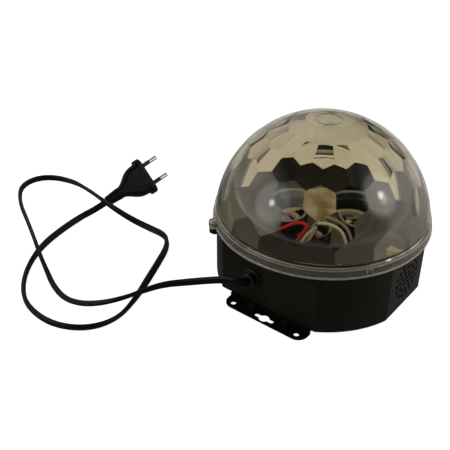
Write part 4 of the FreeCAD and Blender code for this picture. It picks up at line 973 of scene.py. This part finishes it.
roll_stations = [(0, 90), (48, 98), (72, 78), (92, 45), (108, 20), (122, 9), (134, 10), (146, 24),
                 (160, 38), (180, 56), (194, 76), (216, 82), (276, 82), (300, 90), (348, 92),
                 (372, 94), (386, 106), (398, 114), (408, 127), (422, 137), (436, 134), (446, 125),
                 (458, 106), (470, 92), (482, 84), (494, 68), (506, 62), (516, 68), (528, 98),
                 (540, 116), (552, 130), (576, 137), (588, 126), (600, 102), (612, 78), (624, 58),
                 (636, 53), (648, 68), (672, 76), (684, 84), (708, 88), (732, 85), (746, 94),
                 (768, 98), (780, 90), (804, 63), (840, 55), (873, 52)]
cord_section = twin_section(cord_wide, cord_thick)
cord_points = sweep(cord_line, rolled(cord_line, cord_run, roll_stations), cord_section)
around = len(cord_section)
last_ring = (len(cord_line) - 1) * around
cord_faces = grid_faces(len(cord_line), around, 0, True)
cord_faces += [list(range(around)), list(range(last_ring, last_ring + around))]
cord = piece("mains_cord_flat", cord_points, cord_faces, finish["cord_rubber"], "case",
             smooth_angle=50)
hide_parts("mains_cord")

# %% [markdown]
# ## Studio
#
# The object stands on white, lit by two softboxes. Only rays that the camera sends see pure
# white, straight on or through the clear parts. Surfaces see a dim tent with three narrow glows
# and a brighter band along the horizon, and most of it is dark, which keeps black plastic black.
# The floor glows almost as much as the white behind it, so a soft shadow remains where the
# object stands, and in reflections it is dim under the camera and brighter at the far side.


# %% World
tent_level = 0.03
tent_glows = ((-142, 14, 0.7), (46, 22, 0.8), (140, 35, 0.5))
glow_cosines = (0.7, 1.0)
horizon_rise = (0.12, -0.02)
horizon_level = 0.45
tent_white = (1, 0.99, 0.97, 1)
pure_white = (1, 1, 1, 1)


def direction(azimuth, elevation):
    """Unit direction at an azimuth and an elevation in degrees."""
    turn, rise = math.radians(azimuth), math.radians(elevation)
    return (math.cos(turn) * math.cos(rise), math.sin(turn) * math.cos(rise), math.sin(rise))


def glowing(tree, kind, colour, strength):
    """Output of a node of a kind that gives off light."""
    return node(tree, kind, {"Color": colour, "Strength": strength}).outputs[0]


def seen_white(tree):
    """1 for rays from the camera, straight or through clear parts, and 0 for reflected ones."""
    paths = node(tree, "ShaderNodeLightPath").outputs
    unreflected = maths(tree, "LESS_THAN", paths["Glossy Depth"], 0.5)
    through = maths(tree, "MULTIPLY", paths["Is Transmission Ray"], unreflected)
    return maths(tree, "MAXIMUM", paths["Is Camera Ray"], through)


def build_world():
    """White for camera rays and what they see through glass; a shaded tent for the rest.

    The tent's light is a dim even level, a band that grows towards the horizon, and a few
    glows, each of which grows smoothly with the cosine of the angle from its direction.
    """
    world = bpy.data.worlds.new("studio")
    world.use_nodes = True
    tree = world.node_tree
    tree.nodes.clear()
    place = node(tree, "ShaderNodeTexCoord").outputs["Generated"]
    rise = node(tree, "ShaderNodeSeparateXYZ", {0: place}).outputs["Z"]
    total = spread(tree, rise, horizon_rise, (tent_level, horizon_level), soft=True)
    for azimuth, elevation, level in tent_glows:
        along = node(tree, "ShaderNodeVectorMath", {0: place, 1: direction(azimuth, elevation)},
                     operation="DOT_PRODUCT").outputs["Value"]
        glow = spread(tree, along, glow_cosines, (0.0, level), soft=True)
        total = maths(tree, "ADD", total, glow)
    tent = glowing(tree, "ShaderNodeBackground", tent_white, total)
    white = glowing(tree, "ShaderNodeBackground", pure_white, 1.0)
    surface = mixed_shader(tree, seen_white(tree), tent, white)
    node(tree, "ShaderNodeOutputWorld", {"Surface": surface})
    bpy.context.scene.world = world


build_world()
print("tent glows", len(tent_glows))

# %% Floor
floor_half = 6.0
floor_drop = 0.2 * MM
floor_glow = 0.93
sheen_reach = (-0.14, 0.5)
sheen_levels = (0.10, 0.70)


def floor_plane():
    """A wide floor that glows white to the camera and still takes a faint shadow."""
    mesh = bpy.data.meshes.new("floor")
    corners = [(x * floor_half, y * floor_half, 0) for x, y in ((-1, -1), (1, -1), (1, 1), (-1, 1))]
    mesh.from_pydata(corners, [], [(0, 1, 2, 3)])
    material, tree, shader = new_material("floor_white", base_color=(0.8, 0.8, 0.8, 1),
                                          roughness=0.9)
    glow = glowing(tree, "ShaderNodeEmission", pure_white, floor_glow)
    both = node(tree, "ShaderNodeAddShader", {0: shader.outputs[0], 1: glow}).outputs[0]
    sheen = spread(tree, coordinates(tree)["Y"], sheen_reach, sheen_levels, soft=True)
    dim = glowing(tree, "ShaderNodeEmission", tent_white, sheen)
    tree.links.new(mixed_shader(tree, seen_white(tree), dim, both),
                   tree.nodes["Material Output"].inputs["Surface"])
    mesh.materials.append(material)
    floor = bpy.data.objects.new("floor", mesh)
    floor.location.z = -floor_drop
    bpy.context.scene.collection.objects.link(floor)
    return floor


floor = floor_plane()
print("floor", floor.name, 2 * floor_half, "m wide")

# %% [markdown]
# A real softbox is a lamp behind a cloth, so its reflection is a faint square with soft edges
# and a small hot spot in the middle. Both come from the distance to the middle of the light's
# face, where 0.5 is the middle of an edge: the cloth fades out towards the edge, and the lamp
# fades out close to the middle.

# %% Softboxes
box_side = 0.9
box_distance = 1.1
box_watts = 20
box_middle = Vector((0, 0, 60)) * MM
cloth_edge = (0.5, 0.34)
cloth_level = 0.15
lamp_edge = (0.10, 0.02)


def softbox(name, azimuth, elevation):
    """Area light in a direction from the middle of the object."""
    data = bpy.data.lights.new(name, "AREA")
    data.shape = "RECTANGLE"
    data.size = data.size_y = box_side
    data.energy = box_watts
    light = bpy.data.objects.new(name, data)
    away = Vector(direction(azimuth, elevation))
    light.location = box_middle + away * box_distance
    light.rotation_euler = away.to_track_quat("Z", "Y").to_euler()
    bpy.context.scene.collection.objects.link(light)
    data.use_nodes = True
    tree = data.node_tree
    spot = node(tree, "ShaderNodeNewGeometry").outputs["Parametric"]
    from_middle = node(tree, "ShaderNodeVectorMath", {0: spot, 1: (0.5, 0.5, 0)},
                       operation="DISTANCE").outputs["Value"]
    cloth = spread(tree, from_middle, cloth_edge, (0.0, cloth_level), soft=True)
    lamp = spread(tree, from_middle, lamp_edge, soft=True)
    tree.links.new(maths(tree, "ADD", cloth, lamp), tree.nodes["Emission"].inputs["Strength"])
    return light


lamps = [softbox("softbox_left", -119, 26), softbox("softbox_right", 18, 32)]
print("lights", [light.name for light in lamps])
